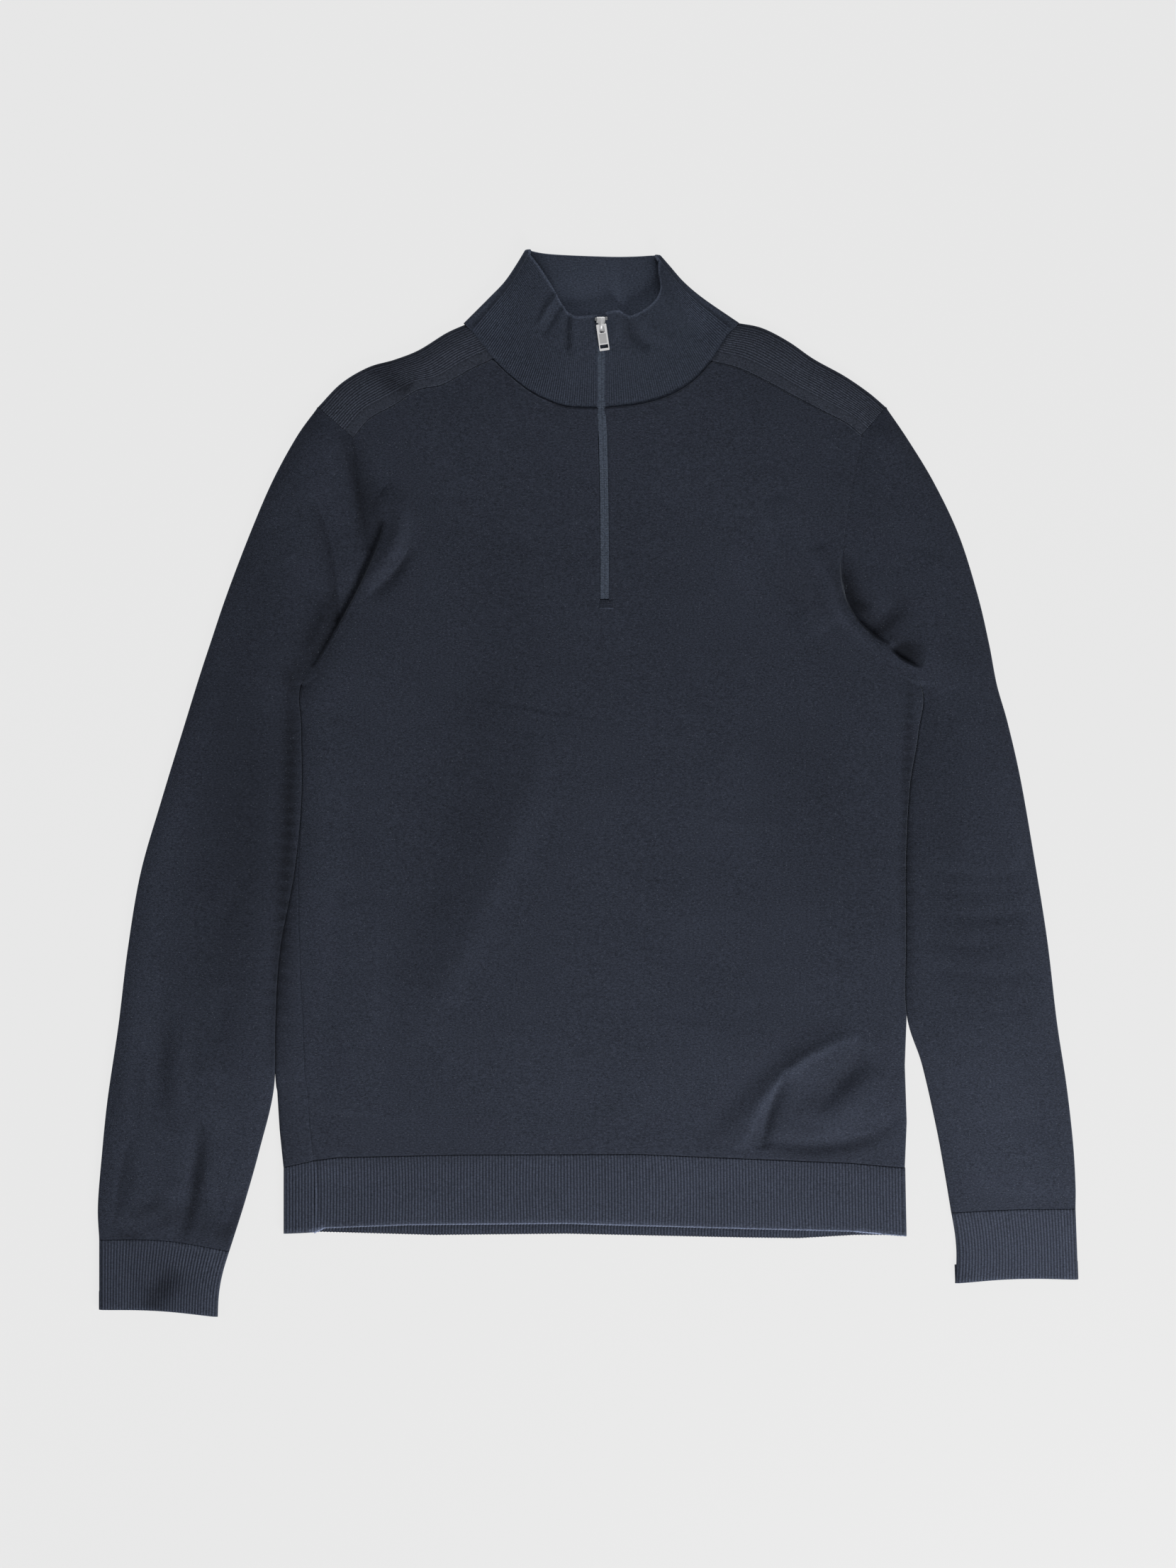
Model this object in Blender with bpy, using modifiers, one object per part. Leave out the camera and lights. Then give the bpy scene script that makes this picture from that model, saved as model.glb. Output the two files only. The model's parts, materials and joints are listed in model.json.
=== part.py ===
"""Half-zip fine-knit sweater with a ribbed funnel collar, laid flat with its front up.

The cloth lies in the XY plane on z = 0: the collar points to +Y, the wearer's right side to -X.
Every cloth piece is a wall worked out from short tables of sections, in millimetres, and is
written in metres. Walls keep SEAM_GAP between them at every seam.
"""
import math
from typing import NamedTuple

import bmesh
import bpy
import numpy as np
from mathutils import Matrix, Vector

MM = 0.001
COLLECTION = "half_zip_sweater"

# cloth
SEAM_GAP = 0.3
EDGE = SEAM_GAP / 2          # each piece stops this far short of its seam line
WALL = 1.6                   # jersey
RIM = 2.4                    # outer radius where a flat tube turns over at its side
COLLAR_WALL = 2.6            # doubled rib
COLLAR_RIM = 3.2
LOFT = 1.5                   # air that lifts the front layer off the back one
LOFT_REACH = 14.0            # the lift is gone this near a side
CONTACT_GAP = 0.8            # sleeve beside body
RIB_DEPTH = 0.5
BAND_RIB = 2.42              # rib pitch of hem and cuffs
FINE_RIB = 1.9               # rib pitch of collar and yokes
INSIDE_STEP = 6.0            # columns of a ribbed piece's plain inside

# zip
TAPE_HALF = 3.35             # from the closing line to a tape's outer edge
SLIT_HALF = TAPE_HALF + SEAM_GAP
TAPE_THICK = 1.0
TAPE_SUNK = 0.4
ZIP_TOP_Y = 360.5
ZIP_NECK_Y = 291.2
ZIP_END_Y = 143.0
HEM_MIDDLE_Y = -287.0
ZIP_LINE = ((362.0, 10.2), (289.0, 10.3), (269.0, 11.6), (223.0, 12.5), (173.0, 12.9), (143.0, 12.7),
            (HEM_MIDDLE_Y, 6.0))     # (y, x) from the collar's top down, then the panel's middle
SLIDER = (5.2, 11.4, 1.2)    # width, length and thickness of the slider's top plate
CROWN_TAPER = 0.78           # the crown's width over the plate's
BRIDGE_WIRE = 0.7            # radius
HINGE_Y = 354.5
HINGE_RISE = 1.25            # the pull's bar over the slider's plate
PULL = (7.8, 20.5, 1.0)      # width, length and thickness
BAR = 1.6                    # the pull's bar along its length
PULL_EYE = (3.9, 5.1)        # the bridge comes through here
PULL_WINDOW = (6.3, 2.8)
WINDOW_FROM_HINGE = 16.5
PULL_TILT = math.radians(8.0)
PULL_DROP = math.radians(5.5)
STOP = (1.8, 2.4, 1.0)
STOP_OFF_LINE = 4.0
TACK = (8.8, 5.2, 1.2)
TACK_BELOW_SLIT = 5.6
TACK_TO_RIGHT = 0.8
STOP_STAGGER = 0.6           # the right stop sits this much higher
CROWN_OVER_TAPE = 0.6
BRIDGE_FEET = (2.3, 1.3)     # the front foot before the hinge, the rear one from the crown's edge


class Section(NamedTuple):
    """One section across a sleeve, from its outer fold to the armhole seam or the inner fold."""
    outer_x: float
    outer_y: float
    inner_x: float
    inner_y: float


class YokeSection(NamedTuple):
    """One section across a yoke, from the shoulder fold to the seam with the front panel."""
    fold_x: float
    fold_y: float
    seam_x: float
    seam_y: float


class Fold(NamedTuple):
    """A soft ridge (height > 0) or trough (height < 0) along start, middle and end."""
    x0: float
    y0: float
    x1: float
    y1: float
    x2: float
    y2: float
    width: float
    height: float


UNDERARM = 6                 # station where the armhole ends and the sleeve's own fold starts
APEX = 11                    # station where sleeve and body part
SLEEVE_LEFT = (
    Section(-209.5, 292.0, -182.0, 268.0),
    Section(-226.0, 269.0, -179.0, 253.0),
    Section(-245.0, 234.0, -177.0, 220.0),
    Section(-262.5, 193.0, -179.5, 176.0),
    Section(-280.0, 147.0, -185.5, 142.0),
    Section(-293.0, 108.5, -198.5, 107.5),
    Section(-302.0, 81.0, -222.0, 77.0),
    Section(-314.5, 40.5, -222.0, 40.0),
    Section(-331.0, -13.5, -222.0, -13.5),
    Section(-347.0, -69.5, -227.5, -69.5),
    Section(-357.0, -129.0, -238.5, -129.0),
    Section(-364.0, -186.5, -242.0, -184.0),
    Section(-372.5, -244.5, -243.5, -236.0),
    Section(-377.0, -288.5, -254.5, -283.0),
    Section(-380.0, -327.0, -266.0, -324.0),
    Section(-379.0, -353.0, -278.0, -362.0),
)
SLEEVE_RIGHT = (
    Section(231.0, 292.0, 212.0, 270.0),
    Section(248.0, 267.0, 209.0, 253.0),
    Section(268.0, 234.0, 202.5, 220.0),
    Section(287.5, 193.0, 197.5, 176.0),
    Section(302.0, 147.0, 202.0, 138.0),
    Section(311.0, 108.5, 221.5, 113.0),
    Section(317.0, 77.0, 257.5, 77.0),
    Section(325.5, 47.0, 256.0, 39.0),
    Section(335.5, 3.0, 249.5, -2.5),
    Section(346.0, -57.5, 246.5, -57.5),
    Section(356.0, -120.5, 246.5, -120.5),
    Section(363.5, -184.0, 247.0, -178.5),
    Section(371.0, -233.5, 259.0, -218.0),
    Section(376.0, -277.5, 270.0, -266.5),
    Section(378.0, -310.5, 276.5, -302.0),
    Section(378.0, -329.0, 281.5, -332.0),
)
HEM_STATION = 14
HALVES = np.arange(8.5, APEX, 0.5)
BODY_SIDE_LEFT = ((-242.0, -184.0), (-241.0, -236.0), (-239.0, -268.0), (-236.0, -297.0))
BODY_SIDE_RIGHT = ((247.0, -178.5), (245.5, -218.0), (247.0, -262.0), (245.5, -297.5))
SIDE_SEAM_LEFT = ((8.0, 0.0), (9.0, 4.0), (10.0, 17.0), (11.0, 22.8), (12.0, 25.0), (14.0, 25.0))

YOKE_LEFT = (
    YokeSection(-94.5, 356.5, -74.0, 329.0),
    YokeSection(-110.0, 349.5, -93.0, 320.0),
    YokeSection(-131.0, 336.5, -113.0, 309.0),
    YokeSection(-150.0, 329.0, -132.0, 305.0),
    YokeSection(-170.5, 323.0, -150.0, 293.5),
    YokeSection(-191.5, 310.5, -169.0, 283.0),
    YokeSection(-209.5, 292.0, -182.0, 268.0),
)
YOKE_RIGHT = (
    YokeSection(116.0, 357.5, 96.0, 327.5),
    YokeSection(135.0, 353.5, 117.0, 322.0),
    YokeSection(155.5, 343.0, 138.5, 312.0),
    YokeSection(175.0, 329.5, 158.0, 301.5),
    YokeSection(198.5, 316.5, 180.0, 290.0),
    YokeSection(217.5, 303.5, 199.5, 280.0),
    YokeSection(231.0, 292.0, 212.0, 270.0),
)
YOKES = {-1: YOKE_LEFT, 1: YOKE_RIGHT}
YOKE_RIB_SHARE = 0.74        # the rest, towards the front seam, is a plain band
LAP_SHARE = 0.3              # how far across its ends a yoke reaches on the underside

# collar, seen from above; each curve runs from the zip or the neck upwards
NECK = {
    -1: ((6.5, 291.2), (-16.0, 292.0), (-32.5, 297.5), (-46.5, 305.0), (-61.0, 316.5), (-74.0, 329.0)),
    1: ((14.1, 291.2), (39.0, 294.0), (61.0, 300.0), (77.5, 309.0), (88.0, 318.0), (96.0, 327.5)),
}
COLLAR_TOP = {
    -1: ((6.4, 362.0), (-11.5, 361.5), (-20.0, 370.0), (-25.0, 379.0), (-37.0, 398.0), (-48.0, 413.5)),
    1: ((14.0, 364.0), (24.0, 365.5), (34.0, 361.5), (50.0, 371.0), (56.5, 383.0), (55.0, 397.0),
        (54.5, 409.5)),
}
COLLAR_SIDE = {
    -1: ((-94.5, 356.5), (-77.0, 376.0), (-65.0, 389.0), (-55.5, 402.0), (-48.0, 413.5)),
    1: ((116.0, 357.5), (90.5, 376.0), (75.0, 389.0), (64.0, 401.5), (54.5, 409.5)),
}
COLLAR_BACK_TOP = ((-48.0, 413.5), (-30.0, 410.0), (11.5, 408.0), (35.0, 408.0), (54.5, 409.5))
NECK_BACK = ((-50.0, 336.0), (12.0, 331.0), (70.0, 336.0))      # between the yokes' laps
COLLAR_START = 0.6           # the front's rise over the two layers at its neck seam
COLLAR_STAND = 4.0           # and at its free edge
SIDE_MARGIN = 0.16           # share of the front that slopes down to the side fold
PLEAT = {-1: 0.24, 1: 0.26}  # share of the front where it dips in an upright fold
PLEAT_DEPTH = 2.2
PLEAT_WIDTH = 0.045
COLLAR_RIB_FADE = 0.6        # how much of the ribs' height is gone at the free edge
COLLAR_INSIDE_STEP = 8.5
BACK_TOP_FROM = 0.05         # share of the back's top edge taken up by each side's turn

HEM_SEAM = ((-236.0, -297.0), (-212.0, -291.5), (-192.0, -289.0), (-97.0, -287.0), (39.0, -286.5),
            (121.5, -290.0), (204.0, -293.5), (245.5, -297.5))
HEM_FRONT = ((-212.0, -347.0), (-204.0, -343.0), (-139.0, -340.5), (-17.0, -339.5), (121.5, -343.5),
             (204.0, -345.5), (246.5, -349.5))
HEM_SIDE = {-1: (-236.0, -236.0), 1: (245.5, 246.5)}     # the fold's x at the seam and the edge
HEM_EDGE_LIFT = 0.8          # how much of the lift is left at the front's free edge
HEM_BACK = ((-236.0, -348.5), (-207.0, -347.0), (-119.0, -349.5), (-17.0, -348.5), (121.5, -351.5),
            (163.0, -352.0), (207.0, -349.5), (246.5, -349.5))
CUFF_BOW = {-1: 4.0, 1: 1.0}  # how far each cuff seam bows towards the sleeve
CUFF_LEFT_END = Section(-379.0, -407.0, -287.0, -412.5)
CUFF_RIGHT_END = Section(380.0, -383.5, 284.5, -386.5)

FOLDS = (
    # left armhole: the body rolls over the sleeve head
    Fold(-160.0, 226.0, -146.0, 194.0, -176.0, 152.0, 10.0, 3.2),
    Fold(-145.0, 180.0, -152.0, 160.0, -172.0, 146.0, 6.0, -1.8),
    Fold(-214.0, 224.0, -200.0, 180.0, -195.0, 124.0, 11.0, -1.8),
    Fold(-190.0, 262.0, -194.0, 225.0, -188.0, 190.0, 11.0, -1.2),
    Fold(-236.0, 200.0, -232.0, 140.0, -248.0, 70.0, 22.0, 1.8),
    # right armhole and chest
    Fold(147.0, 223.0, 166.0, 160.0, 186.0, 120.0, 11.0, 2.8),
    Fold(138.0, 201.0, 154.0, 158.0, 168.0, 132.0, 9.0, -1.4),
    Fold(178.0, 184.0, 187.0, 160.0, 202.0, 126.0, 8.0, 2.0),
    Fold(196.0, 152.0, 207.0, 142.0, 213.0, 134.0, 7.0, -1.6),
    Fold(215.0, 120.0, 224.0, 128.0, 238.0, 136.0, 8.0, -1.6),
    Fold(262.0, 180.0, 258.0, 130.0, 276.0, 70.0, 20.0, 1.8),
    # the body's large soft slope, and its folds towards the hem
    Fold(-38.0, 60.0, -72.0, -60.0, -140.0, -200.0, 55.0, 2.2),
    Fold(-178.0, -90.0, -176.0, -170.0, -182.0, -262.0, 22.0, 1.5),
    Fold(206.0, -195.0, 150.0, -228.0, 112.0, -284.0, 13.0, 5.0),
    Fold(165.0, -192.0, 124.0, -240.0, 86.0, -280.0, 12.0, -2.2),
    Fold(160.0, -225.0, 140.0, -255.0, 136.0, -284.0, 9.0, -2.2),
    Fold(218.0, -203.0, 196.0, -232.0, 176.0, -253.0, 12.0, -2.4),
    Fold(176.0, -262.0, 200.0, -252.0, 228.0, -240.0, 14.0, 2.0),
    # sleeves above the cuffs
    Fold(-318.0, -168.0, -328.0, -210.0, -331.0, -250.0, 8.0, -1.6),
    Fold(-300.0, -272.0, -305.0, -305.0, -310.0, -345.0, 8.0, -1.8),
    Fold(-281.0, -157.0, -284.0, -178.0, -283.0, -200.0, 8.0, -1.4),
    Fold(-353.0, -288.0, -358.0, -310.0, -362.0, -328.0, 6.0, -1.4),
    Fold(318.0, -100.0, 322.0, -180.0, 330.0, -260.0, 20.0, 1.5),
)

# colours (linear RGB)
KNIT = (0.028, 0.034, 0.047, 1.0)
RIB_KNIT = (0.040, 0.047, 0.062, 1.0)
TAPE_CLOTH = (0.043, 0.052, 0.070, 1.0)
NICKEL = (0.62, 0.62, 0.63, 1.0)


# ---------------------------------------------------------------- curves and relief

def smooth(points, t):
    """Points at station numbers t of the smooth curve through all the given points."""
    p = np.asarray(points, float)
    t = np.clip(np.asarray(t, float), 0.0, len(p) - 1.0)
    i = np.clip(t.astype(int), 0, len(p) - 2)
    f = (t - i)[..., None]
    ends = np.vstack([2 * p[0] - p[1], p, 2 * p[-1] - p[-2]])
    a, b, c, d = (ends[i + k] for k in range(4))
    return 0.5 * (2 * b + (c - a) * f + (2 * a - 5 * b + 4 * c - d) * f ** 2
                  + (3 * b - a - 3 * c + d) * f ** 3)


def even(points, fractions):
    """Points at the given shares (0 to 1) of a smooth curve's length."""
    fine = smooth(points, np.linspace(0, len(points) - 1, 40 * len(points)))
    run = np.concatenate([[0.0], np.cumsum(np.linalg.norm(np.diff(fine, axis=0), axis=1))])
    at = np.asarray(fractions) * run[-1]
    return np.column_stack([np.interp(at, run, fine[:, 0]), np.interp(at, run, fine[:, 1])])


def unit(v):
    """Vectors of length one."""
    return v / np.maximum(np.linalg.norm(v, axis=-1, keepdims=True), 1e-9)


def mix(a, b, f):
    """Straight blend from a to b."""
    return a + (b - a) * f


def offset_line(points, distance):
    """Plan points of a line moved to its left by a distance, square to the line."""
    points = np.asarray(points, float)
    way = unit(np.diff(points, axis=0))
    before, after = np.vstack([way[:1], way]), np.vstack([way, way[-1:]])
    middle = unit(before + after)
    reach = distance / np.maximum((middle * after).sum(axis=1), 0.5)
    return points + np.column_stack([-middle[:, 1], middle[:, 0]]) * reach[:, None]


def relief(xy):
    """Height of the loose front layer's folds, in mm, at plan points."""
    xy = np.asarray(xy, float)
    flat = xy.reshape(-1, 2)
    total = np.zeros(len(flat))
    s = np.linspace(0, 1, 41)[:, None]
    for fold in FOLDS:
        a, b, c = np.array(fold[0:2]), np.array(fold[2:4]), np.array(fold[4:6])
        path = a * (1 - s) * (1 - 2 * s) + 4 * b * s * (1 - s) + c * s * (2 * s - 1)
        away = np.linalg.norm(flat[:, None, :] - path[None, :, :], axis=2)
        nearest = np.argmin(away, axis=1)
        fade = np.sqrt(np.sin(math.pi * s[nearest, 0]).clip(0))
        total += fold.height * fade * np.exp(-(away.min(axis=1) / fold.width) ** 2)
    return total.reshape(xy.shape[:-1])


def lifted(xy, from_side):
    """Height of the top layer over the rims' 2 * RIM, gone at a folded side."""
    near = np.clip(np.asarray(from_side) / LOFT_REACH, 0, 1)
    return (LOFT + relief(xy)) * near * (2 - near)


def rim(edge, inward, along, radius):
    """Outer points and normals at arc length `along` over a folded side (0 at its outermost line).

    Positive lengths go over the top, negative ones under to z = 0.
    """
    quarter = math.pi * radius / 2
    turn = np.clip(along / radius, -math.pi / 2, math.pi / 2)
    inset = radius * (1 - np.cos(turn)) + np.maximum(np.abs(along) - quarter, 0)
    xy = edge + inward * inset[..., None]
    z = radius + radius * np.sin(turn)
    normal = np.concatenate([-inward * np.cos(turn)[..., None], np.sin(turn)[..., None]], axis=-1)
    return np.concatenate([xy, z[..., None]], axis=-1), normal


# ---------------------------------------------------------------- meshes

def finish(name, bm, material, collection):
    """Put a bmesh, in mm, into the scene as a named object with one material."""
    bmesh.ops.scale(bm, vec=(MM, MM, MM), verts=bm.verts)
    mesh = bpy.data.meshes.new(name)
    bm.to_mesh(mesh)
    bm.free()
    mesh.shade_smooth()
    mesh.set_sharp_from_angle(angle=math.radians(50))
    mesh.materials.append(material)
    obj = bpy.data.objects.new(name, mesh)
    collection.objects.link(obj)
    return obj


def wall_solid(outer, inner, keep, wrap=False):
    """A closed wall between two grids of points of the same shape.

    keep tells which cells between rows and columns are cloth; wherever a kept cell has no kept
    neighbour, the wall's edge is closed. wrap joins the last column to the first.
    """
    bm = bmesh.new()
    rows, cols = outer.shape[:2]
    cell_cols = cols if wrap else cols - 1
    made = {}

    def corner(layer, i, j):
        key = (layer, i, j % cols)
        if key not in made:
            made[key] = bm.verts.new((outer, inner)[layer][i, j % cols])
        return made[key]

    def kept(i, j):
        if wrap:
            j %= cols
        return 0 <= i < rows - 1 and 0 <= j < cell_cols and bool(keep[i, j])

    for i in range(rows - 1):
        for j in range(cell_cols):
            if not kept(i, j):
                continue
            loop = ((i, j), (i + 1, j), (i + 1, j + 1), (i, j + 1))
            bm.faces.new([corner(0, a, b) for a, b in loop])
            bm.faces.new([corner(1, a, b) for a, b in reversed(loop)])
            beyond = (kept(i, j - 1), kept(i + 1, j), kept(i, j + 1), kept(i - 1, j))
            for k in range(4):
                if not beyond[k]:
                    a, b = loop[k], loop[(k + 1) % 4]
                    bm.faces.new([corner(0, *b), corner(0, *a), corner(1, *a), corner(1, *b)])
    bmesh.ops.recalc_face_normals(bm, faces=bm.faces)
    return bm


def ribbed_solid(outer, inner, outer_at, inner_at, wrap=False):
    """A closed wall whose outer grid has more columns than its plain inner grid.

    outer_at and inner_at give each grid's columns on one common scale, so that the edges between
    the grids are filled with even triangles.
    """
    bm = bmesh.new()
    grids = []
    for points in (outer, inner):
        rows, cols = points.shape[:2]
        verts = [[bm.verts.new(points[i, j]) for j in range(cols)] for i in range(rows)]
        if wrap:
            for row in verts:
                row.append(row[0])
        for i in range(rows - 1):
            for j in range(len(verts[0]) - 1):
                bm.faces.new((verts[i][j], verts[i + 1][j], verts[i + 1][j + 1], verts[i][j + 1]))
        grids.append(verts)

    def lace(a, b, at_a, at_b):
        i = j = 0
        while i < len(a) - 1 or j < len(b) - 1:
            step_a = j == len(b) - 1 or (i < len(a) - 1
                                         and at_a[i + 1] <= (at_b[j] + at_b[j + 1]) / 2)
            if step_a:
                bm.faces.new((a[i], a[i + 1], b[j]))
                i += 1
            else:
                bm.faces.new((a[i], b[j + 1], b[j]))
                j += 1

    ends = (1.0,) if wrap else ()
    outer_at, inner_at = (*outer_at, *ends), (*inner_at, *ends)
    lace(grids[0][0], grids[1][0], outer_at, inner_at)
    lace(grids[0][-1], grids[1][-1], outer_at, inner_at)
    if not wrap:
        for j in (0, -1):
            sides = [[row[j] for row in verts] for verts in grids]
            lace(*sides, *(np.linspace(0, 1, len(side)) for side in sides))
    bmesh.ops.recalc_face_normals(bm, faces=bm.faces)
    return bm


def cloth_material(name, colour, roughness=0.95, metallic=0.0):
    """A plain Principled material."""
    material = bpy.data.materials.new(name)
    material.use_nodes = True
    shader = material.node_tree.nodes["Principled BSDF"]
    shader.inputs["Base Color"].default_value = colour
    shader.inputs["Roughness"].default_value = roughness
    shader.inputs["Metallic"].default_value = metallic
    return material


# ---------------------------------------------------------------- sleeves

SLEEVE_STATIONS = np.concatenate([np.arange(0, UNDERARM, 0.5), np.arange(UNDERARM, 16, 1.0)])
SLEEVE_TOP_COLUMNS = 8


def sleeve(name, table, side, material, collection):
    """One sleeve: open at the armhole, a closed flat tube below the underarm."""
    t = SLEEVE_STATIONS
    rows = smooth(table, t)
    outer_edge, inner_edge = rows[:, :2], rows[:, 2:]
    closed = t >= UNDERARM
    inward = unit(inner_edge - outer_edge)
    inner_start = np.where(closed, RIM, EDGE)[:, None]
    near = outer_edge + inward * RIM
    far = inner_edge - inward * inner_start
    bow = np.zeros_like(t)
    bow[-1] = CUFF_BOW[side]
    points, normals = [], []

    def flat(f, top):
        xy = mix(near, far, f)
        across = np.linalg.norm(xy - outer_edge, axis=1)
        to_inner = np.where(closed, np.linalg.norm(xy - inner_edge, axis=1), LOFT_REACH)
        if f > 0.999:
            to_inner = np.where(closed, RIM, LOFT_REACH)
        xy = xy + np.outer(bow * math.sin(math.pi * f), (0.0, 1.0))
        height = 2 * RIM + lifted(xy, np.minimum(across, to_inner) - RIM) if top else np.zeros(len(t))
        points.append(np.column_stack([xy, height]))
        normals.append(np.tile((0.0, 0.0, 1.0 if top else -1.0), (len(t), 1)))

    for f in np.linspace(1, 0, SLEEVE_TOP_COLUMNS + 1):
        flat(f, True)
    for angle in (30, -30):
        p, n = rim(outer_edge, inward, np.full(len(t), math.radians(angle) * RIM), RIM)
        points.append(p)
        normals.append(n)
    for f in (0.0, 0.5, 1.0):
        flat(f, False)
    for angle in (-30, 30):
        p, n = rim(inner_edge, -inward, np.full(len(t), math.radians(angle) * RIM), RIM)
        points.append(p)
        normals.append(n)
    outer = np.stack(points, axis=1)
    inner = outer - WALL * np.stack(normals, axis=1)
    outer[0], inner[0] = end_inset(outer, inner, 0, 1)
    outer[-1], inner[-1] = end_inset(outer, inner, -1, -2)
    keep = np.ones((len(t) - 1, outer.shape[1]), bool)
    keep[: list(t).index(UNDERARM), -3:] = False
    return finish(name, wall_solid(outer, inner, keep, wrap=True), material, collection)


def end_inset(outer, inner, end, before):
    """The end row of a tube, drawn back from its seam line by EDGE."""
    step = unit(outer[before] - outer[end])
    step[:, 2] = 0
    return outer[end] + EDGE * step, inner[end] + EDGE * step


# ---------------------------------------------------------------- body

def body_side(side, t):
    """Plan points of the body's side at stations t: armhole seam, then fold beside the sleeve."""
    table = SLEEVE_LEFT if side < 0 else SLEEVE_RIGHT
    below = BODY_SIDE_LEFT if side < 0 else BODY_SIDE_RIGHT
    upper = smooth(table, np.minimum(t, APEX))[:, 2:]
    fall = np.clip(t - APEX, 0, None)
    lower = np.column_stack([np.interp(fall, range(4), np.array(below)[:, k]) for k in (0, 1)])
    edge = np.where((t > APEX)[:, None], lower, upper)
    edge[:, 0] -= side * np.where(t >= UNDERARM, CONTACT_GAP, 0.0)
    return edge


def zip_x(y):
    """The closing line's x at heights y."""
    table = np.array(ZIP_LINE[::-1])
    return np.interp(y, table[:, 0], table[:, 1])


FRONT_STATIONS = np.concatenate([np.arange(0, UNDERARM, 0.5), (6.0, 7.0, 8.0), HALVES,
                                 np.arange(APEX, HEM_STATION + 0.1, 0.5)])
ZIP_END_STATION = 4.5
NECK_COLUMNS = 7
QUARTER = math.pi * RIM / 2


def front_top(side):
    """Plan points of the front panel's upper edge, from the armhole to the zip."""
    across = np.array(YOKES[side])[::-1, 2:]
    neck = even(NECK[side], np.linspace(1, 0, NECK_COLUMNS + 1))
    return np.vstack([across, neck[1:]])


def front_rows():
    """How far down each row of the front panel lies, and the zip line's point in each row."""
    t = FRONT_STATIONS
    y = (body_side(-1, t)[:, 1] + body_side(1, t)[:, 1]) / 2
    down = (y[0] - y) / (y[0] - y[-1])
    at_end = down[list(t).index(ZIP_END_STATION)]
    zip_y = np.where(down <= at_end, mix(ZIP_NECK_Y, ZIP_END_Y, down / at_end),
                     mix(ZIP_END_Y, HEM_MIDDLE_Y, (down - at_end) / (1 - at_end)))
    return down, zip_y


def front_half(side):
    """Outer points, normals and lifts of one half of the front, side to zip."""
    t = FRONT_STATIONS
    down, zip_y = front_rows()
    edge = body_side(side, t)
    inward = np.tile((-side * 1.0, 0.0), (len(t), 1))
    lap = np.interp(t, *np.array(SIDE_SEAM_LEFT).T) if side < 0 else np.zeros_like(t)
    folded = t >= UNDERARM
    points, normals = [], []
    for share in (0.0, 0.5):
        along = lap + EDGE + share * QUARTER
        p, n = rim(edge, inward, along, RIM)
        p[:, 2] += lifted(p[:, :2], np.abs(p[:, 0] - edge[:, 0]) - RIM) * (along >= QUARTER)
        points.append(p)
        normals.append(n)
    top = front_top(side)
    share = (top[:, 0] - top[0, 0]) / (top[-1, 0] - top[0, 0])
    first_inset = np.where(folded, lap + RIM, EDGE)
    first = edge + inward * first_inset[:, None]
    last = np.column_stack([zip_x(zip_y) + side * SLIT_HALF, zip_y])
    for k, f in enumerate(share):
        top_shift = top[k] - mix(top[0], top[-1], f)
        xy = mix(first, last, f) + np.outer(1 - down, top_shift)
        from_side = np.where(folded, np.abs(xy[:, 0] - edge[:, 0]) - RIM, LOFT_REACH)
        shoulder = np.linalg.norm(xy - YOKES[side][-1][:2], axis=1) - RIM
        z = 2 * RIM + lifted(xy, np.minimum(from_side, shoulder))
        points.append(np.column_stack([xy, z]))
        normals.append(np.tile((0.0, 0.0, 1.0), (len(t), 1)))
    return np.stack(points, axis=1), np.stack(normals, axis=1)


def front_grid():
    """The whole front panel's outer points and normals, drawn back from its top and hem seams."""
    left, left_normals = front_half(-1)
    right, right_normals = front_half(1)
    outer = np.concatenate([left, right[:, ::-1]], axis=1)
    normals = np.concatenate([left_normals, right_normals[:, ::-1]], axis=1)
    settle_on_hem(outer, front_rows()[0])
    outer[0, 2:-2, :2] = offset_line(outer[0, 2:-2, :2], -EDGE)
    return outer, normals


def hem_seam_y(x):
    """Height of the hem seam at x."""
    return np.interp(x, *np.array(HEM_SEAM).T)


def settle_on_hem(outer, down):
    """Shift a panel's lower rows along Y so that its last row lies just over the hem seam."""
    shift = hem_seam_y(outer[-1, :, 0]) + EDGE - outer[-1, :, 1]
    outer[:, :, 1] += np.outer(down ** 8, shift)


def front_panel(material, collection):
    """The front: one wall with a slit for the zip."""
    outer, normals = front_grid()
    inner = outer - WALL * normals
    t = FRONT_STATIONS
    keep = np.ones((len(t) - 1, outer.shape[1] - 1), bool)
    start = list(t).index(UNDERARM)
    keep[:start, :2] = False
    keep[:start, -2:] = False
    keep[: list(t).index(ZIP_END_STATION), outer.shape[1] // 2 - 1] = False
    return finish("front_panel", wall_solid(outer, inner, keep), material, collection)


BACK_STATIONS = np.concatenate([[-1.0], np.arange(0, UNDERARM, 0.5), (6.0, 7.0, 8.0), HALVES,
                                np.arange(APEX, HEM_STATION + 0.1, 1.0)])
BACK_NECK_COLUMNS = 8


def back_wrap(lap):
    """Arc lengths of the columns that carry the back panel round a side, seam to underside."""
    start = lap - EDGE
    stops = np.stack([np.full_like(lap, v) for v in (QUARTER, QUARTER / 3, -QUARTER / 3, -QUARTER)])
    shares = np.array((0.25, 0.5, 0.75, 1.0))[:, None]
    return np.vstack([start[None], np.minimum(stops, mix(start, -QUARTER, shares))])


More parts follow.
